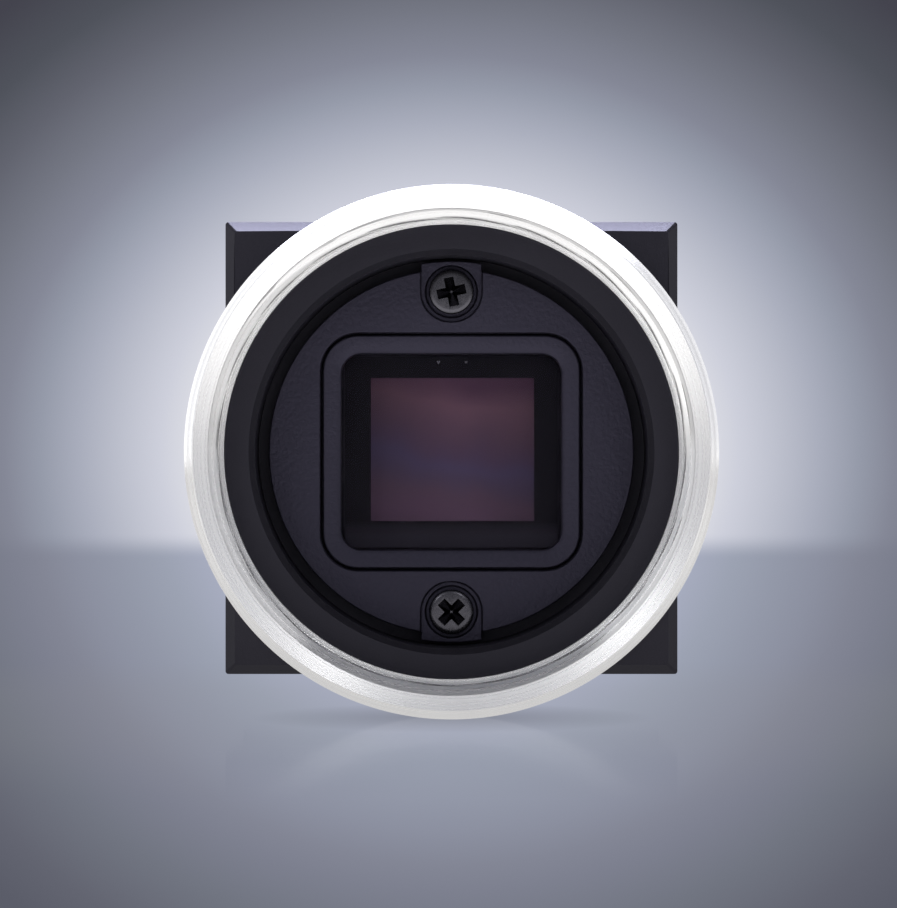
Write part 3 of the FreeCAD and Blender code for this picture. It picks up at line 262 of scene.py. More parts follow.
tint = node("Mix", {"Factor": fade, "A": srgb("#0e0c10"), "B": bands.outputs["Color"]},
            data_type="RGBA").outputs["Result"]
rough = node("MapRange", (cloud, 0.3, 0.7, 0.34, 0.42))
shader = node("BsdfPrincipled", {"Base Color": tint, "Metallic": 1.0, "Roughness": rough})
node("OutputMaterial", [shader])
print("finishes", len(finishes))

# %% [markdown]
# A border of dark circuits frames the cells on the same die, and below them runs a paler
# strip of painted light. Polished silicon under its oxide is nearly black and throws
# back little light, so its gloss is turned down and only the painted strip gets a colour.

# %% Silicon
node, place = start("silicon")
height = node("SeparateXYZ", [place]).outputs["Z"]
cloud = node("TexNoise", {"Vector": place, "Scale": 700.0, "Detail": 2.0})
# A paler strip below the cells, towards the bottom: painted light, not a part of the die.
painted_light_strip = node("MapRange", (height, -0.0046, -0.00375, 1.0, 0.0))
tint = node("Mix", {"Factor": painted_light_strip, "A": srgb("#0b0a0d"), "B": srgb("#56535b")},
            data_type="RGBA").outputs["Result"]
rough = node("MapRange", (cloud, 0.3, 0.7, 0.3, 0.4))
shader = node("BsdfPrincipled", {"Base Color": tint, "Specular IOR Level": 0.12, "Roughness": rough})
node("OutputMaterial", [shader])
print("finishes", len(finishes))

# %% [markdown]
# Optical glass with a dielectric coating passes the picture and throws back only a
# little light. A thin pane needs no real refraction here: a clear shader mixed with
# a mirror by the angle gives its gloss, and lets lamps light what lies behind it.

# %% Coated glass
def make_pane(name, through, mirror, head_on, edge_on):
    """Glass that passes one colour and mirrors another, by so much at either angle."""
    node, place = start(name)
    dust = node("TexNoise", {"Vector": place, "Scale": 500.0, "Detail": 5.0})
    clear = node("BsdfTransparent", {"Color": srgb(through)})
    rough = node("MapRange", (dust, 0.4, 0.8, 0.02, 0.09))
    gloss = node("BsdfGlossy", {"Color": srgb(mirror), "Roughness": rough})
    angle = node("LayerWeight", {"Blend": 0.3}).outputs["Fresnel"]
    share = node("MapRange", (angle, 0.0, 1.0, head_on, edge_on))
    shader = node("MixShader", (share, clear, gloss))
    node("OutputMaterial", [shader])


# The filter's interference coating mirrors a pale violet; the sensor's own window is
# plain polished glass.
make_pane("filter_coating", "#f3f1f6", "#a79fc0", 0.002, 0.16)
make_pane("cover_glass", "#f8f9f8", "#d8d8dc", 0.001, 0.12)
print("finishes", len(finishes))

# %% [markdown]
# Light pipes are moulded in clear polycarbonate. Their ends are left slightly rough to
# spread the lamp's light, so they look milky: most light passes and some is scattered
# back. Transmission and a roughness that varies give that.

# %% Clear plastic
node, place = start("clear_plastic")
haze = node("TexNoise", {"Vector": place, "Scale": 1500.0, "Detail": 3.0})
rough = node("MapRange", (haze, 0.3, 0.7, 0.12, 0.3))
shader = node("BsdfPrincipled", {"Base Color": srgb("#e8ede9"), "Roughness": rough,
                                 "Transmission Weight": 0.7, "IOR": 1.5})
node("OutputMaterial", [shader])
print("finishes", len(finishes))

# %% [markdown]
# Pieces are drawn in millimetres the way a machinist would cut them: outlines across
# the optical axis, pulled along it, or profiles turned about it. Each outline is a
# loop of edges, so a face can be filled between any of them.

# %% Outlines
def wire(mesh, points, close=True):
    """Edges through the points, in order."""
    verts = [mesh.verts.new(p) for p in points]
    pairs = zip(verts, verts[1:] + verts[:1] if close else verts[1:])
    return [mesh.edges.new(pair) for pair in pairs]


def once(items):
    """The items in their order, each once."""
    return list(dict.fromkeys(items))


def verts_of(edges):
    return once(v for edge in edges for v in edge.verts)


def circle(mesh, radius, y, x=0.0, z=0.0, steps=64):
    """A circle across the axis at depth y."""
    place = Matrix.Translation((x, y, z)) @ Matrix.Rotation(math.pi / 2, 4, "X")
    made = bmesh.ops.create_circle(mesh, segments=steps, radius=radius, matrix=place)
    return once(e for v in made["verts"] for e in v.link_edges)


def rounded(mesh, width, height, radius, y, x=0.0, z=0.0, steps=6):
    """A rectangle with round corners, from a square face whose corners are bevelled."""
    before = set(mesh.faces)
    place = (Matrix.Translation((x, y, z)) @ Matrix.Rotation(math.pi / 2, 4, "X")
             @ Matrix.Diagonal((width, height, 1, 1)))
    made = bmesh.ops.create_grid(mesh, x_segments=1, y_segments=1, size=0.5, matrix=place)
    if radius:
        bmesh.ops.bevel(mesh, geom=made["verts"], offset=radius, segments=steps, profile=0.5,
                        affect="VERTICES", material=-1)
    face = next(f for f in mesh.faces if f not in before)
    edges = list(face.edges)
    bmesh.ops.delete(mesh, geom=[face], context="FACES_ONLY")
    return edges


print("outlines are closed loops of edges")

# %% [markdown]
# Pulling a loop along the axis makes walls, and fitting it to a new box on the way
# makes chamfers and steps. A flat face is filled between any loops that lie in it. A
# turned part is a profile spun about its axis.

# %% Pulls, fills and turned profiles
def pull(mesh, edges, along=0.0, box=None):
    """Extrude a loop along the axis, and spread it so that it fits the box (width, height)."""
    old = set(verts_of(edges))
    made = bmesh.ops.extrude_edge_only(mesh, edges=edges)["geom"]
    new = [g for g in made if isinstance(g, bmesh.types.BMVert) and g not in old]
    loop = [g for g in made if isinstance(g, bmesh.types.BMEdge) and set(g.verts) <= set(new)]
    bmesh.ops.translate(mesh, vec=(0, along, 0), verts=new)
    if box:
        xs, zs = [v.co.x for v in new], [v.co.z for v in new]
        centre = Vector(((min(xs) + max(xs)) / 2, 0, (min(zs) + max(zs)) / 2))
        size = (box[0] / (max(xs) - min(xs)), 1, box[1] / (max(zs) - min(zs)))
        bmesh.ops.scale(mesh, vec=size, verts=new, space=Matrix.Translation(-centre))
    return loop


def fill(mesh, *loops):
    """Fill the flat face that lies between the loops."""
    edges = [edge for loop in loops for edge in loop]
    bmesh.ops.triangle_fill(mesh, use_beauty=True, use_dissolve=False, edges=edges)


def turn(mesh, profile, steps=96, x=0.0, z=0.0):
    """Spin a profile of (radius, depth) points about an axis through (x, z)."""
    edges = wire(mesh, [(x + r, y, z) for r, y in profile], close=False)
    bmesh.ops.spin(mesh, geom=verts_of(edges) + edges, cent=(x, 0, z), axis=(0, 1, 0),
                   angle=2 * math.pi, steps=steps, use_merge=True)


print("loops are pulled and filled, profiles are turned")

# %% [markdown]
# A finished mesh is welded, brought to metres and given its finishes. Faces are smooth
# and edges sharp where they turn by more than a set angle, and a small bevel rounds
# the edges that a tool or a mould leaves. The frame's pieces that it stands for are hidden.

# %% Making a piece
def to_object(name, mesh, names):
    """Bring the mesh to metres and make its object, with the named finishes."""
    bmesh.ops.scale(mesh, vec=(MM, MM, MM), verts=mesh.verts)
    data = bpy.data.meshes.new(name)
    mesh.to_mesh(data)
    mesh.free()
    for finish in names:
        data.materials.append(finishes[finish])
    thing = bpy.data.objects.new(name, data)
    bpy.context.collection.objects.link(thing)
    return thing


def piece(name, mesh, slot, nodes, bevel=0.0, sharp=35, more=()):
    """Weld the mesh, make the object and hide the frame's pieces that it stands for."""
    bmesh.ops.remove_doubles(mesh, verts=mesh.verts, dist=0.0005)
    bmesh.ops.recalc_face_normals(mesh, faces=mesh.faces)
    thing = to_object(name, mesh, (slot, *more))
    thing.data.shade_smooth()
    thing.data.set_sharp_from_angle(angle=math.radians(sharp))
    if bevel:
        edge = thing.modifiers.new("edge", "BEVEL")
        edge.width, edge.segments, edge.limit_method = bevel * MM, 2, "ANGLE"
        edge.angle_limit = math.radians(40)
        edge.harden_normals = True
    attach(thing, "root")
    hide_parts(*nodes)
    print(name, len(thing.data.polygons), "faces")
    return thing


print("pieces are welded within 0.0005 mm")

# %% [markdown]
# The lens ring is one turned part: a lead-in, a thread of 32 turns to the inch, a
# shoulder, and chamfers. The thread is real: the bore is turned as a fine sleeve,
# then every point moves out to the groove of a 60 degree thread as it winds round.

# %% Lens ring
THREAD_R, CREST_R, LEAD_R, THREAD_END = 12.70, 12.27, 12.75, 4.2
PITCH = 25.4 / 32


def thread_radius(depth, angle):
    """How far out the bore is at this depth and angle, lead-in and run-out included."""
    phase = (depth / PITCH + angle / (2 * math.pi)) % 1.0
    groove = max(0.0, 1 - abs(2 * phase - 1) * 1.15 - 0.02)
    fade = min(1.0, max(0.0, (THREAD_END - depth) / 0.35))
    return max(CREST_R + (THREAD_R - CREST_R) * groove * fade, LEAD_R - depth)


ring = bmesh.new()
FACE_EDGE, REAR_EDGE, BORE_R, ROUND, ROWS = 0.46, 0.25, 12.02, 256, 105
turn(ring, [(LEAD_R, FLANGE), (RING_R - FACE_EDGE, FLANGE), (RING_R, FACE_EDGE), (RING_R, 1.2),
            (RING_R - 0.03, 1.24), (RING_R - 0.03, 1.36), (RING_R, 1.4),
            (RING_R, RING_END - REAR_EDGE), (RING_R - REAR_EDGE, RING_END), (BORE_R, RING_END),
            (BORE_R, THREAD_END), (CREST_R, THREAD_END)], ROUND)
turn(ring, [(CREST_R, FLANGE + THREAD_END * i / ROWS) for i in range(ROWS + 1)], ROUND)
for vert in ring.verts:
    radius = math.hypot(vert.co.x, vert.co.z)
    if abs(radius - CREST_R) < 0.001 and vert.co.y < THREAD_END - 0.001:
        out = thread_radius(vert.co.y, math.atan2(vert.co.z, vert.co.x)) / radius
        vert.co.x, vert.co.z = vert.co.x * out, vert.co.z * out
piece("lens_ring", ring, "machined_aluminium", ["c_mount_ring"], sharp=28)

# %% [markdown]
# Two helpers for the mounting holes in the top and bottom of the case. A hole is a
# profile turned about a vertical axis, and its walls are zigzags because it is tapped.
# The large flat face that it opens into is taken away first, and filled round it after.

# %% Tapped holes
MOUTH_BEVEL, GROOVE, HALF_PITCH = 0.12, 1.16, 0.1


def tapped(mesh, plate, x, y, radius, depth, top):
    """A tapped blind hole in a flat top or bottom: returns its mouth for the fill."""
    inward = -1 if top else 1
    mouth = radius + MOUTH_BEVEL
    side = Matrix.Translation((x, y, plate))
    made = bmesh.ops.create_circle(mesh, segments=32, radius=mouth, matrix=side)
    loop = once(e for v in made["verts"] for e in v.link_edges)
    profile, level = [(mouth, 0.0)], MOUTH_BEVEL
    while level < depth - 3 * HALF_PITCH:
        profile += [(radius, level), (radius * GROOVE, level + HALF_PITCH)]
        level += 2 * HALF_PITCH
    profile += [(radius, depth), (0.0, depth + radius * 0.5)]
    edges = wire(mesh, [(x + r, y, plate + inward * d) for r, d in profile], close=False)
    bmesh.ops.spin(mesh, geom=verts_of(edges) + edges, cent=(x, y, 0), axis=(0, 0, 1),
                   angle=2 * math.pi, steps=32, use_merge=True)
    return loop


def open_face(mesh, z):
    """Take away the large flat face at that height and give back its edges."""
    face = max((f for f in mesh.faces if abs(f.calc_center_median().z - z) < 1e-4),
               key=lambda f: f.calc_area())
    edges = list(face.edges)
    bmesh.ops.delete(mesh, geom=[face], context="FACES_ONLY")
    return edges


print("mounting threads", 2 * HALF_PITCH, "mm apart")

# %% [markdown]
# The case is a square block with its front edges chamfered. Its long faces are flat
# and its corners small, and only a hairline chamfer shows where the sleeve begins.
# Four M2 holes open below and two M3 holes above, for mounting it.

# %% Front housing: block and mounting holes
CORNER, FRONT_EDGE, SEAM_EDGE = 0.65, 0.5, 0.12
HOUSING_FACE, HOUSING_INSIDE = RING_END, (21.8, 21.8)
BOSS_R, HOLE_X, HOLE_DEPTH = 12.0, (-9.5, 9.5), 3.0
M2_CORE, M2_Y = 0.8, (8.5, 14.5)
M3_CORE, M3_Y = 1.25, 11.5


def case_outline(mesh, inset, y):
    """The case's square outline at that depth, drawn in by the inset."""
    return rounded(mesh, BODY_W - 2 * inset, BODY_H - 2 * inset, CORNER - inset, y, z=MIDDLE)


housing = bmesh.new()
front = case_outline(housing, FRONT_EDGE, HOUSING_FACE)
foot = circle(housing, BOSS_R, HOUSING_FACE, steps=128)
fill(housing, front, foot)
shoulder = pull(housing, front, FRONT_EDGE, (BODY_W, BODY_H))
rear = pull(housing, shoulder, SEAM - HOUSING_FACE - FRONT_EDGE - SEAM_EDGE)
rear = pull(housing, rear, SEAM_EDGE, (BODY_W - 2 * SEAM_EDGE, BODY_H - 2 * SEAM_EDGE))
pull(housing, rear, 0, HOUSING_INSIDE)
low = open_face(housing, BODY_LOW)
holes = [tapped(housing, BODY_LOW, x, y, M2_CORE, HOLE_DEPTH, False) for x in HOLE_X for y in M2_Y]
fill(housing, low, *holes)
high = open_face(housing, BODY_TOP)
holes = [tapped(housing, BODY_TOP, x, M3_Y, M3_CORE, HOLE_DEPTH, True) for x in HOLE_X]
fill(housing, high, *holes)
print("housing block", len(housing.faces), "faces")

# %% [markdown]
# In front of the block stands a round boss inside the ring, with a well for the filter
# and an aperture for the picture. The upper front chamfer alone gets a brighter,
# burnished finish: a painted highlight where the light from above falls on it.

# %% Front housing: boss, well and painted highlight on the upper edge
WELL_R, WELL_BEVEL = 10.4, 0.33
APERTURE, APERTURE_CORNER, APERTURE_DEPTH = (12.2, 11.2), 0.8, 2.8

boss = pull(housing, foot, BOSS_FACE - HOUSING_FACE)
mouth = circle(housing, WELL_R + WELL_BEVEL, BOSS_FACE, steps=128)
fill(housing, boss, mouth)
neck = pull(housing, mouth, WELL_BEVEL, (2 * WELL_R, 2 * WELL_R))
floor = pull(housing, neck, WELL_FLOOR - BOSS_FACE - WELL_BEVEL)
aperture = rounded(housing, *APERTURE, APERTURE_CORNER, WELL_FLOOR)
fill(housing, floor, aperture)
pull(housing, aperture, APERTURE_DEPTH)
bmesh.ops.recalc_face_normals(housing, faces=housing.faces)
# The upper front chamfer takes the second, brighter finish: a painted highlight where light from above
# falls.
for face in housing.faces:
    sloped = 0.2 < -face.normal.y < 0.9 and face.normal.z > 0.6
    if sloped and face.calc_center_median().z > BODY_TOP - FRONT_EDGE:
        face.material_index = 1
piece("front_case", housing, "black_anodised", ["front_housing"], bevel=0.05, more=["anodised_edge_painted_highlight"])

# %% [markdown]
# The sleeve is a square tube cut from extrusion, so its four long faces run straight
# from the seam to the rear plate.

# %% Sleeve
SLEEVE_INSIDE, SLEEVE_CORNER = 21.6, 1.0

sleeve = bmesh.new()
front = case_outline(sleeve, SEAM_EDGE, SEAM)
inner = rounded(sleeve, SLEEVE_INSIDE, SLEEVE_INSIDE, SLEEVE_CORNER, SEAM, z=MIDDLE)
fill(sleeve, front, inner)
side = pull(sleeve, front, SEAM_EDGE, (BODY_W, BODY_H))
rear = pull(sleeve, side, SLEEVE_END - SEAM - SEAM_EDGE)
back = pull(sleeve, inner, SLEEVE_END - SEAM)
fill(sleeve, rear, back)
piece("case_tube", sleeve, "black_anodised", ["case_sleeve"], bevel=0.04)

# %% [markdown]
# The rear plate is milled, with a chamfer round its edge. Its openings leave a hairline
# round the network jack, the signal header and the status light, and a little more
# round the screws that hold it.

# %% Rear plate
PLATE_EDGE, PLATE_DEPTH, PLATE_INSIDE = 0.4, 2.1, (21.5, 21.5)
HAIRLINE, OPENING_CORNER, SCREW_HOLE_R, REAR_HEAD_R = 0.1, 0.15, 0.75, 1.2
JACK_LOW, JACK_HIGH = span("jack_shield")
HEAD_LOW, HEAD_HIGH = span("io_header")
PIPE_LOW, PIPE_HIGH = span("status_light_pipe")
SCREW_X, _, SCREW_TOP = span("rear_plate_screws")[1]
STACK = (SCREW_X - REAR_HEAD_R, SCREW_TOP - REAR_HEAD_R - MIDDLE)


def centre(low, high):
    """The middle (x, z) of a box."""
    return (low[0] + high[0]) / 2, (low[2] + high[2]) / 2


def across(low, high):
    """The width and height of a box."""
    return high[0] - low[0], high[2] - low[2]


plate = bmesh.new()
rim = case_outline(plate, PLATE_EDGE, PLATE_FACE)
openings = []
for low, high in ((JACK_LOW, JACK_HIGH), (HEAD_LOW, HEAD_HIGH)):
    wide, tall = across(low, high)
    openings.append(rounded(plate, wide + 2 * HAIRLINE, tall + 2 * HAIRLINE, OPENING_CORNER, PLATE_FACE,
                            *centre(low, high)))
pipe_x, pipe_z = centre(PIPE_LOW, PIPE_HIGH)
openings.append(circle(plate, PIPE_HIGH[0] - pipe_x + HAIRLINE / 2, PLATE_FACE, pipe_x, pipe_z))
openings += [circle(plate, SCREW_HOLE_R, PLATE_FACE, x, MIDDLE + z, 32)
             for x in (-STACK[0], STACK[0]) for z in (-STACK[1], STACK[1])]
fill(plate, rim, *openings)
for loop in openings:
    pull(plate, loop, -PLATE_DEPTH)
edge = pull(plate, rim, -PLATE_EDGE, (BODY_W, BODY_H))
edge = pull(plate, edge, SLEEVE_END - PLATE_FACE + PLATE_EDGE)
pull(plate, edge, 0, PLATE_INSIDE)
piece("back_plate", plate, "black_anodised", ["rear_plate"], bevel=0.04)

# %% [markdown]
# The retainer holds the filter in its well. Its outline alternates between two long
# arcs of its disc and the U-shaped pockets over its screws.

# %% Retainer outline
DISC_R, LUG_HALF, SCREW_Z = 9.8, 1.65, 8.6
HEAD_SEAT = HEAD_TOP + 0.8
LUG_FLOOR = RETAINER_FACE + 0.45


def arc(x, z, radius, first, last, count):
    """Points (x, z) along an arc; angles in degrees from +x towards +z."""
    angles = [math.radians(first + (last - first) * i / count) for i in range(count + 1)]
    return [(x + radius * math.cos(a), z + radius * math.sin(a)) for a in angles]


def at(points, depth):
    """The points (x, z) in space, at that depth."""
    return [(x, depth, z) for x, z in points]


reach = math.degrees(math.asin(LUG_HALF / DISC_R))
upper = arc(0, SCREW_Z, LUG_HALF, 180, 360, 24)
lower = arc(0, -SCREW_Z, LUG_HALF, 0, 180, 24)
outline = (arc(0, 0, DISC_R, reach - 90, 90 - reach, 96) + upper[::-1]
           + arc(0, 0, DISC_R, 90 + reach, 270 - reach, 96) + lower[::-1])
print("retainer outline of", len(outline), "points")

# %% [markdown]
# The disc has a frame round its window, set off by a narrow groove, and the window's
# edge is chamfered. Groove and frame keep the window's shape, grown evenly.

# %% Retainer disc and window
WINDOW, WINDOW_CORNER = (11.8, 10.5), 0.9
GROOVE_OUT, GROOVE_IN, CHAMFER = 1.13, 0.98, 0.22
GROOVE_DEPTH, CHAMFER_DEPTH, DISC_DEPTH = 0.28, 0.1, 1.1


def window(grow):
    """The window's outline on the disc's face, grown by that much."""
    return rounded(retainer, WINDOW[0] + 2 * grow, WINDOW[1] + 2 * grow, WINDOW_CORNER + grow,
                   RETAINER_FACE, steps=10)


retainer = bmesh.new()
rim = wire(retainer, at(outline, RETAINER_FACE))
outer, inner, lip = window(GROOVE_OUT), window(GROOVE_IN), window(CHAMFER)
fill(retainer, rim, outer)
fill(retainer, inner, lip)
trench = pull(retainer, outer, GROOVE_DEPTH)
bottom = pull(retainer, inner, GROOVE_DEPTH)
fill(retainer, trench, bottom)
throat = pull(retainer, lip, CHAMFER_DEPTH, WINDOW)
pull(retainer, throat, DISC_DEPTH - CHAMFER_DEPTH)
pull(retainer, pull(retainer, rim, LUG_FLOOR - RETAINER_FACE), WELL_FLOOR - LUG_FLOOR)
print("retainer disc", len(retainer.faces), "faces")

# %% [markdown]
# Each screw sits on a lug that reaches out below the disc's face, with a round seat
# sunk into it. Disc and lug meet in a wall that both would draw, so it is taken out.

# %% Retainer lugs
SEAT_R, SHANK_BOX, LUG_LEAN = 1.4, (1.5, 1.5), 0.95
side_z = DISC_R * math.cos(math.radians(reach))
for sign in (1, -1):
    tip = arc(0, 0, LUG_REACH, 90 - reach * LUG_LEAN, 90 + reach * LUG_LEAN, 16)
    tongue = tip + [(-LUG_HALF, side_z)] + upper + [(LUG_HALF, side_z)]
    floor = wire(retainer, at([(x, sign * z) for x, z in tongue], LUG_FLOOR))
    seat = circle(retainer, SEAT_R, LUG_FLOOR, z=sign * SCREW_Z, steps=48)
    fill(retainer, floor, seat)
    pull(retainer, floor, WELL_FLOOR - LUG_FLOOR)
    base = pull(retainer, seat, HEAD_SEAT - LUG_FLOOR)
    pull(retainer, base, 0, SHANK_BOX)

shared = []
for face in retainer.faces:
    middle = face.calc_center_median()
    off = math.hypot(middle.x, max(0.0, SCREW_Z - abs(middle.z)))
    if middle.y > LUG_FLOOR + 0.05 and abs(middle.z) < side_z and 1.55 < off < LUG_HALF + 0.01:
        shared.append(face)
bmesh.ops.delete(retainer, geom=shared, context="FACES")
piece("window_retainer", retainer, "black_retainer", ["filter_retainer"], bevel=0.08)

# %% [markdown]
# M1.4 pan head screws, blackened in front and behind. The head is a disc whose edge
# rolls over in four steps; a cross recess is cut first as five squares of a grid and
# pushed in with a taper, because that is how a punch forms it in the real head.

# %% A pan head screw
HEAD_R, ROOT_BOX, CROSS_DEPTH, ROLL_HEIGHT = 1.2, (1.4, 1.4), 0.85, 0.91
ARM_OUT, ARM_IN = 0.78, 0.26
ROLL = ((0.9, 0.02), (0.96, 0.04), (0.99, 0.08), (1.0, 0.13), (1.0, 0.6), (0.97, 0.04))


def pan_screw(mesh, seat, height, shank, x, z, degrees, facing):
    """A screw whose head stands on the seat and faces along facing (1 or -1)."""
    top = seat + facing * height
    place = (Matrix.Translation((x, top, z)) @ Matrix.Rotation(math.radians(degrees), 4, "Y")
             @ Matrix.Rotation(math.pi / 2, 4, "X"))
    made = bmesh.ops.create_grid(mesh, x_segments=3, y_segments=3, size=1.0)["verts"]
    for vert in made:
        for i in (0, 1):
            vert.co[i] = math.copysign(ARM_OUT if abs(vert.co[i]) > 0.5 else ARM_IN, vert.co[i])
    faces = once(f for v in made for f in v.link_faces)
    corners = [f for f in faces if min(abs(c) for c in f.calc_center_median()[:2]) > 0.3]
    bmesh.ops.delete(mesh, geom=corners, context="FACES")
    cross = [f for f in faces if f.is_valid]
    bmesh.ops.transform(mesh, matrix=place, verts=once(v for f in cross for v in f.verts))
    rim = [e for f in cross for e in f.edges if len(e.link_faces) == 1]
    flat = circle(mesh, HEAD_R * 0.8, top, x, z, 48)
    fill(mesh, rim, flat)
    pushed = bmesh.ops.extrude_face_region(mesh, geom=cross)["geom"]
    bmesh.ops.delete(mesh, geom=cross, context="FACES")
    low = [g for g in pushed if isinstance(g, bmesh.types.BMVert)]
    bmesh.ops.translate(mesh, vec=(0, -facing * CROSS_DEPTH, 0), verts=low)
    bmesh.ops.scale(mesh, vec=(0.1, 1, 0.1), verts=low, space=Matrix.Translation((-x, 0, -z)))
    for share, drop in ROLL:
        wide = 2 * HEAD_R * share
        flat = pull(mesh, flat, -facing * drop * height / ROLL_HEIGHT, (wide, wide))
    flat = pull(mesh, flat, 0, ROOT_BOX)
    flat = pull(mesh, flat, -facing * shank)
    fill(mesh, flat)


print("screw heads", 2 * HEAD_R, "mm wide")

# %% [markdown]
# Two screws hold the retainer and four longer ones the rear plate. Nobody lines up
# their recesses, so each has its own angle.

# %% Screws in place
FRONT_SHANK, REAR_SHANK = 3.6, 4.7

front_screws = bmesh.new()
for z, degrees in ((SCREW_Z, -12), (-SCREW_Z, 45)):
    pan_screw(front_screws, HEAD_SEAT, HEAD_SEAT - HEAD_TOP, FRONT_SHANK, 0, z, degrees, -1)
piece("retainer_screw_pair", front_screws, "black_steel", ["retainer_screws"], bevel=0.03)
rear_screws = bmesh.new()
for x, z, degrees in ((-1, -1, 20), (1, -1, 64), (-1, 1, 7), (1, 1, 38)):
    pan_screw(rear_screws, PLATE_FACE, REAR_HEAD - PLATE_FACE, REAR_SHANK, x * STACK[0],
              MIDDLE + z * STACK[1], degrees, 1)
piece("back_screws", rear_screws, "black_steel", ["rear_plate_screws"], bevel=0.02)

# %% [markdown]
# Behind the window sit a coated filter and, over the sensor, a clear cover glass. Both
# are plain plates, as large as the frame says, with round corners.

# %% Filter and sensor window
def slab(name, node, radius, slot, bevel):
    """A plate as large as its piece of the frame, with round corners."""
    low, high = span(node)
    mesh = bmesh.new()
    front = rounded(mesh, *across(low, high), radius, low[1], *centre(low, high))
    fill(mesh, front)
    fill(mesh, pull(mesh, front, high[1] - low[1]))
    piece(name, mesh, slot, [node], bevel)


slab("coated_filter", "filter_glass", 0.8, "filter_coating", 0.05)
slab("sensor_window", "sensor_cover_glass", 0.3, "cover_glass", 0.04)

# %% [markdown]
# The die's face is filled round its cells, so the two can take different finishes, and
# two tiny metal marks stand near its upper edge as alignment targets do on real dies.
# Each mark is a pair of short bars that lean apart.

# %% Image sensor
CELLS, CELLS_X, CELLS_Z = (8.9, 7.8), 0.06, 0.13
MARKS_X, MARKS_Z, MARK_SIZE = (-0.703, 0.798), 4.9, (0.035, 0.02, 0.17)

low, high = span("sensor_die")
die = bmesh.new()
front = rounded(die, *across(low, high), 0, low[1])
active = rounded(die, *CELLS, 0, low[1], CELLS_X, CELLS_Z)
fill(die, front, active)
before = set(die.faces)
fill(die, active)
for face in set(die.faces) - before:
    face.material_index = 1
fill(die, pull(die, front, high[1] - low[1]))
before = set(die.faces)
for x in MARKS_X:
    for lean in (-1, 1):
        mark = (Matrix.Translation((x + lean * 0.04, low[1] - 0.01, MARKS_Z))
                @ Matrix.Rotation(lean * 0.45, 4, "Y") @ Matrix.Diagonal((*MARK_SIZE, 1)))
        bmesh.ops.create_cube(die, size=1.0, matrix=mark)
for face in set(die.faces) - before:
    face.material_index = 2
piece("image_sensor", die, "silicon", ["sensor_die"], more=["sensor_cells", "plated_shield"])

# %% [markdown]
# The network jack is a folded sheet can round a moulded core.

# %% Network jack: can
CAN_SHEET, CAN_CORNER = 0.25, 0.4

can = bmesh.new()
wide, tall = across(JACK_LOW, JACK_HIGH)
mouth_y, back_y = JACK_HIGH[1], JACK_LOW[1]
jack_x, jack_z = centre(JACK_LOW, JACK_HIGH)
outer = rounded(can, wide, tall, CAN_CORNER, mouth_y, jack_x, jack_z)
inner = rounded(can, wide - 2 * CAN_SHEET, tall - 2 * CAN_SHEET, CAN_CORNER / 2, mouth_y, jack_x, jack_z)
fill(can, outer, inner)
fill(can, pull(can, outer, back_y - mouth_y))
fill(can, pull(can, inner, back_y - mouth_y + CAN_SHEET))
piece("jack_can", can, "plated_shield", ["jack_shield"], bevel=0.05)

# %% [markdown]
# The core's cavity has two steps for the plug's latch, and two holes above it take the
# light pipes. Ribs in its ceiling keep the eight contacts apart. The cavity's outline
# is one half given as (x, z) below the ceiling, and its mirror image.

# %% Network jack: core
CEILING, CAVITY_DEPTH = 2.1, 11.6
LAMP_BOX, LAMP_DEPTH = (2.6, 1.3), 3.0
CONTACTS, CONTACT_PITCH = 8, 1.02
RIB_SIZE, RIB_MIDDLE = (0.34, 9.0, 0.4), 6.5

core = bmesh.new()
CORE_LOW, CORE_HIGH = span("jack_insulator")
wide, tall = across(CORE_LOW, CORE_HIGH)
face_y = CORE_HIGH[1]
top = jack_z + tall / 2 - CEILING
steps = [(5.9, 0.0), (5.9, -6.8), (3.2, -6.8), (3.2, -8.3), (1.8, -8.3), (1.8, -9.5)]
half = [(x, top + z) for x, z in steps]
profile = half + [(-x, z) for x, z in half[::-1]]
front = rounded(core, wide, tall, 0.15, face_y, jack_x, jack_z)
cavity = wire(core, at(profile, face_y))
LAMP_LOW, LAMP_HIGH = span("jack_light_pipes")
lamp_x, lamp_z = LAMP_HIGH[0] - LAMP_BOX[0] / 2, (LAMP_LOW[2] + LAMP_HIGH[2]) / 2
lamps = [rounded(core, *LAMP_BOX, 0, face_y, side * lamp_x, lamp_z) for side in (-1, 1)]
fill(core, front, cavity, *lamps)
for loop in lamps:
    pull(core, loop, -LAMP_DEPTH)
fill(core, pull(core, cavity, -CAVITY_DEPTH))
fill(core, pull(core, front, CORE_LOW[1] - face_y))
for i in range(CONTACTS + 1):
    x = (i - CONTACTS / 2) * CONTACT_PITCH
    rib = (Matrix.Translation((x, face_y - RIB_MIDDLE, top - RIB_SIZE[2] / 2))
           @ Matrix.Diagonal((*RIB_SIZE, 1)))
    bmesh.ops.create_cube(core, size=1.0, matrix=rib)
piece("jack_core", core, "black_plastic", ["jack_insulator"], bevel=0.05)

# %% [markdown]
# Two clear bars fill the holes above the plug and glow when the link is up. Their
# corners are round, and their ends are flush with the core.

# %% Network jack: light pipes
pipes = bmesh.new()
for side in (-1, 1):
    front = rounded(pipes, *LAMP_BOX, 0.12, face_y, side * lamp_x, lamp_z)
    fill(pipes, pull(pipes, front, 0.0, (2.36, 1.06)))
    fill(pipes, pull(pipes, front, -LAMP_DEPTH))
piece("jack_lamps", pipes, "clear_plastic", ["jack_light_pipes"], bevel=0.04)

# %% [markdown]
# Eight sprung contacts hang from the ceiling. Each is a strip of sheet that bends down
# in half a cosine and then runs level, and a modifier gives it the sheet's thickness.

# %% Network jack: contacts
CONTACT_WIDTH, CONTACT_SHEET, BENDS = 0.3, 0.1, 14

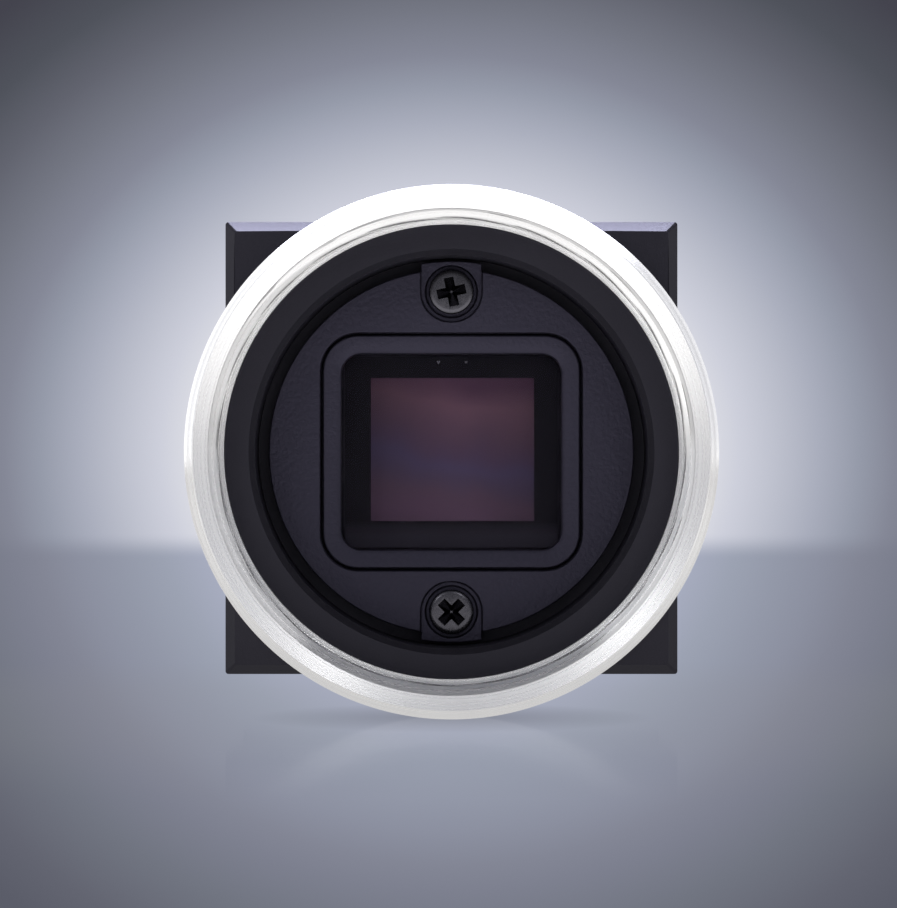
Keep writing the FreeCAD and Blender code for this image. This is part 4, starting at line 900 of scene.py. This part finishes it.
springs = bmesh.new()
SPRING_LOW, SPRING_HIGH = span("jack_contacts")
reach_back = SPRING_HIGH[1] - SPRING_LOW[1] - 0.2
drop = SPRING_HIGH[2] - SPRING_LOW[2] - 0.14
bend = []
for i in range(BENDS + 1):
    fall = (1 - math.cos(math.pi * min(1.0, i / BENDS * 1.15))) / 2
    bend.append((SPRING_HIGH[1] - 0.1 - i / BENDS * reach_back, SPRING_HIGH[2] - 0.06 - fall * drop))
for i in range(CONTACTS):
    x = SPRING_LOW[0] + i * CONTACT_PITCH + 0.03
    strip = wire(springs, [(x, y, z) for y, z in bend], close=False)
    made = bmesh.ops.extrude_edge_only(springs, edges=strip)["geom"]
    moved = [g for g in made if isinstance(g, bmesh.types.BMVert)]
    bmesh.ops.translate(springs, vec=(CONTACT_WIDTH, 0, 0), verts=moved)
contacts = piece("jack_springs", springs, "gold_plating", ["jack_contacts"], sharp=60)
thick = contacts.modifiers.new("sheet", "SOLIDIFY")
thick.thickness, thick.offset = CONTACT_SHEET * MM, 0.0

# %% [markdown]
# The signal header is a moulded shroud. Two polarising slots are cut into its upper
# wall from inside, so that a plug goes in one way round only.

# %% Signal header: shroud
SHROUD_WALL, SOCKET_DEPTH = 0.65, 3.9
SLOT_IN, SLOT_OUT, SLOT_DEPTH = 2.4, 3.6, 0.45

shroud = bmesh.new()
wide, tall = across(HEAD_LOW, HEAD_HIGH)
head_x, head_z = centre(HEAD_LOW, HEAD_HIGH)
mouth = rounded(shroud, wide, tall, 0.2, HEAD_HIGH[1], head_x, head_z)
side, wall = wide / 2 - SHROUD_WALL, tall / 2 - SHROUD_WALL
slot = [(SLOT_IN, wall), (SLOT_IN, wall + SLOT_DEPTH), (SLOT_OUT, wall + SLOT_DEPTH), (SLOT_OUT, wall)]
mirrored = [(-x, z) for x, z in slot[::-1]]
socket = [(-side, -wall), (-side, wall)] + mirrored + slot + [(side, wall), (side, -wall)]
inner = wire(shroud, at([(head_x + x, head_z + z) for x, z in socket], HEAD_HIGH[1]))
fill(shroud, mouth, inner)
fill(shroud, pull(shroud, inner, -SOCKET_DEPTH))
fill(shroud, pull(shroud, mouth, HEAD_LOW[1] - HEAD_HIGH[1]))
piece("signal_header", shroud, "black_plastic", ["io_header"], bevel=0.05)

# %% [markdown]
# In the shroud stand eight square pins whose tips are blunt pyramids.

# %% Signal header: pins
PIN_WIDTH, PIN_PITCH, TIP_WIDTH, TIP_LENGTH = 0.4, 1.25, 0.16, 0.3

pins = bmesh.new()
PIN_LOW, PIN_HIGH = span("io_header_pins")
for i in range(8):
    x = PIN_LOW[0] + PIN_WIDTH / 2 + i * PIN_PITCH
    foot = rounded(pins, PIN_WIDTH, PIN_WIDTH, 0, PIN_LOW[1], x, head_z)
    tip = pull(pins, foot, PIN_HIGH[1] - PIN_LOW[1] - TIP_LENGTH)
    fill(pins, pull(pins, tip, TIP_LENGTH, (TIP_WIDTH, TIP_WIDTH)))
piece("signal_pins", pins, "gold_plating", ["io_header_pins"], bevel=0.02)

# %% [markdown]
# Beside the header a clear rod brings the status lamp's light to the rear plate. Its
# end is slightly domed, so that it glints.

# %% Status light
rod = bmesh.new()
radius = PIPE_HIGH[0] - pipe_x
turn(rod, [(0, PIPE_HIGH[1]), (radius * 0.5, PIPE_HIGH[1] - 0.03), (radius * 0.85, PIPE_HIGH[1] - 0.1),
           (radius, PIPE_HIGH[1] - 0.25), (radius, PIPE_LOW[1]), (0, PIPE_LOW[1])], 48, pipe_x, pipe_z)
piece("status_pipe", rod, "clear_plastic", ["status_light_pipe"])

# %% [markdown]
# What stays out of sight keeps the frame's own shapes: boards, chips, standoffs and
# connectors. They still get their real finishes, so that the camera can be opened up
# later. Each material slot of the frame is named for the finish that it takes.

# %% Finishes of the inner pieces
dressed = 0
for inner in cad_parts.values():
    for holder in inner.material_slots:
        finish = holder.material.name.split(".")[0]
        if finish in finishes:
            holder.material = finishes[finish]
            dressed += 1
print("inner finishes set:", dressed)

# %% [markdown]
# The set is a pale lilac-grey sweep: a floor that ends at a backdrop. Both are flat
# sheets, apart from the camera's body.

# %% Stage sheets
FLOOR, BACK = -14.0, 752.0
FRONT, STAGE_WIDTH, WALL_HEIGHT = -700.0, 3000.0, 1500.0


def sheet_object(name, width, height, place, finish):
    """A flat sheet of that size in mm, for the stage."""
    mesh = bmesh.new()
    bmesh.ops.create_grid(mesh, x_segments=1, y_segments=1, size=0.5,
                          matrix=place @ Matrix.Diagonal((width, height, 1, 1)))
    to_object(name, mesh, [finish])


print("stage", STAGE_WIDTH, "mm wide")

# %% [markdown]
# A bright halo stands behind the camera and falls off to the corners. It is painted
# from each point's own place: the direction to the point, seen from the eye, says how
# far it lies from the halo's middle, and a ramp turns that distance into a colour.

# %% Halo
# A direction's slope times the spread is its place in the picture, which is 0.9 wide.
SPREAD = 7.504
HALO_REACH = 0.7
WALL_STOPS = ((0.2, "#f3f4f7"), (0.24, "#e4e6eb"), (0.26, "#dbdce4"), (0.29, "#cdcfdb"),
              (0.33, "#bcbfcc"), (0.37, "#a9adbc"), (0.41, "#959aa9"), (0.445, "#858897"),
              (0.498, "#747783"), (0.55, "#62646f"), (0.602, "#50535c"), (0.667, "#44444e"))
FLOOR_STOPS = ((0.245, "#a8adc0"), (0.292, "#9ca2b2"), (0.337, "#9398a8"), (0.376, "#8c90a0"),
               (0.415, "#838695"), (0.445, "#7d808f"), (0.508, "#717581"), (0.582, "#636571"),
               (0.633, "#5b5d69"))


def halo(node, aside, down, middle, squash, stops):
    """A colour by the distance from a point below the picture's middle."""
    lower = node("Math", (down, middle), operation="SUBTRACT")
    up = node("Math", (lower, squash), operation="MULTIPLY")
    point = node("CombineXYZ", {"X": aside, "Z": up})
    far = node("VectorMath", [point], operation="LENGTH").outputs["Value"]
    share = node("MapRange", (far, 0.0, HALO_REACH, 0.0, 1.0))
    fall = node("ValToRGB", [share])
    marks = fall.color_ramp.elements
    while len(marks) < len(stops):
        marks.new(0.5)
    for mark, (position, colour) in zip(marks, stops):
        mark.position, mark.color = position / HALO_REACH, srgb(colour)
    return fall.outputs["Color"]


def halo_colour(node, place):
    """The wall's halo above and the floor's, which is greyer, below."""
    parts = node("SeparateXYZ", [place]).outputs
    depth = node("Math", (parts["Y"], DISTANCE * MM), operation="ADD")
    depth = node("Math", (depth, 0.05), operation="MAXIMUM")
    wide = node("Math", (parts["X"], SPREAD), operation="MULTIPLY")
    tall = node("Math", (parts["Z"], -SPREAD), operation="MULTIPLY")
    aside = node("Math", (wide, depth), operation="DIVIDE")
    down = node("Math", (tall, depth), operation="DIVIDE")
    wall = halo(node, aside, down, -0.004, 1.13, WALL_STOPS)
    ground = halo(node, aside, down, 0.046, 1.125, FLOOR_STOPS)
    edge = node("MapRange", (down, 0.079, 0.106), interpolation_type="SMOOTHSTEP")
    return node("Mix", {"Factor": edge, "A": wall, "B": ground}, data_type="RGBA").outputs["Result"]


print("halo of", len(WALL_STOPS), "and", len(FLOOR_STOPS), "colours")

# %% [markdown]
# Only the eye sees the halo. Where the case nearly touches, a painted shadow darkens the
# floor, and its faint mirror shows at a grazing view and fades out a few centimetres away. To the
# metal, the floor in front is a bright card: it lights the upper half of the ring's
# face and bore from below, and that contrast makes turned aluminium read as metal.

# %% Floor and backdrop
def distance_from(node, place, centre, scale):
    """The distance from a centre in mm, with each direction weighed by a scale."""
    centre = (centre[0] * MM, centre[1] * MM, centre[2] * MM)
    away = node("VectorMath", (place, centre), operation="SUBTRACT")
    away = node("VectorMath", (away, scale), operation="MULTIPLY")
    return node("VectorMath", [away], operation="LENGTH").outputs["Value"]


def make_sweep(name, gloss, glow_at):
    """Painted paper: gloss is its faint mirror, glow_at how brightly it lights
    the camera from a patch in front of it and from everywhere else."""
    node, place = start(name)
    # A painted contact shadow on the floor, darkest where the case nearly touches it.
    contact_shadow_spot = distance_from(node, place, (0.0, 4.0, FLOOR), (95.0, 45.0, 1000.0))
    shade = node("MapRange", (contact_shadow_spot, 0.1, 1.0, 0.62, 1.0))
    glow = node("Emission", (halo_colour(node, place), shade))
    grain = node("TexNoise", {"Vector": place, "Scale": 60.0})
    rough = node("MapRange", (grain, 0.3, 0.7, 0.05, 0.08))
    mirror = node("BsdfGlossy", {"Color": srgb("#ffffff"), "Roughness": rough})
    facing = node("LayerWeight", {"Blend": 0.5}).outputs["Facing"]
    grazing = node("Math", (facing, 3.0), operation="POWER")
    away = node("VectorMath", (place, (0.0, 10.0 * MM, FLOOR * MM)), operation="DISTANCE").outputs["Value"]
    near = node("MapRange", (away, 0.04, 0.1, gloss, 0.0))
    share = node("Math", (near, grazing), operation="MULTIPLY")
    seen = node("MixShader", (share, glow, mirror))
    patch = distance_from(node, place, (0.0, -70.0, FLOOR), (6.5, 12.5, 0.0))
    bright = node("MapRange", (patch, 0.6, 0.85, *glow_at))
    card = node("Emission", (srgb("#f6f5f4"), bright))
    eye_ray = node("LightPath").outputs["Is Camera Ray"]
    node("OutputMaterial", [node("MixShader", (eye_ray, card, seen))])


floor_place = Matrix.Translation((0, (BACK + FRONT) / 2, FLOOR))
wall_place = Matrix.Translation((0, BACK, FLOOR + WALL_HEIGHT / 2)) @ Matrix.Rotation(math.pi / 2, 4, "X")
make_sweep("satin_floor", 0.12, (2.2, 0.72))
sheet_object("floor", STAGE_WIDTH, BACK - FRONT, floor_place, "satin_floor")
make_sweep("paper_backdrop", 0.0, (0.3, 0.3))
sheet_object("backdrop", STAGE_WIDTH, WALL_HEIGHT, wall_place, "paper_backdrop")
print("floor at", FLOOR, "mm, backdrop at", BACK, "mm")

# %% [markdown]
# Soft light, as in a light tent: a wide lamp above for the ring's outside and the
# case's upper edges, one at each side for the flanks, and a card in front for the
# black parts. Two small lamps high in front put one glint on each side of the ring's
# lower half. Places and sizes are in mm, strengths in watts.

# %% Lamps
def softbox(name, place, target, width, height, watts, colour="#ffffff"):
    """A rectangular lamp that faces its target."""
    light = bpy.data.lights.new(name, "AREA")
    light.shape, light.size, light.size_y = "RECTANGLE", width * MM, height * MM
    light.energy, light.color = watts, srgb(colour)[:3]
    thing = bpy.data.objects.new(name, light)
    thing.location = Vector(place) * MM
    thing.rotation_euler = (Vector(target) - Vector(place)).to_track_quat("-Z", "Y").to_euler()
    bpy.context.collection.objects.link(thing)


softbox("above", (0, 165, 330), (0, 165, 0), 560, 330, 3.4, "#eef0ff")
softbox("left", (-330, 10, 130), (0, 10, 0), 200, 420, 0.36)
softbox("right", (330, 10, 130), (0, 10, 0), 200, 420, 0.26)
softbox("front", (0, -470, 60), (0, 0, 0), 560, 640, 0.38)
softbox("left_glint", (-82, -200, 82), (0, 0, 0), 40, 40, 0.035)
softbox("right_glint", (58, -200, 100), (0, 0, 0), 30, 30, 0.028)
print("lamps", len(bpy.data.lights))

# %% [markdown]
# A low fill from everywhere keeps the deepest parts readable. It is darker for the
# camera's surfaces than for the eye, so the black parts keep their depth.

# %% Fill light
world = bpy.data.worlds.new("tent")
bpy.context.scene.world = world
world.use_nodes = True
world.node_tree.nodes.clear()
node = partial(add, world.node_tree)
eye_ray = node("LightPath").outputs["Is Camera Ray"]
tent = node("Mix", {"Factor": eye_ray, "A": srgb("#6e707b"), "B": srgb("#a7aab6")},
            data_type="RGBA").outputs["Result"]
back = node("Background", {"Color": tent, "Strength": 0.8})
node("OutputWorld", {"Surface": back})
print("world", world.name)
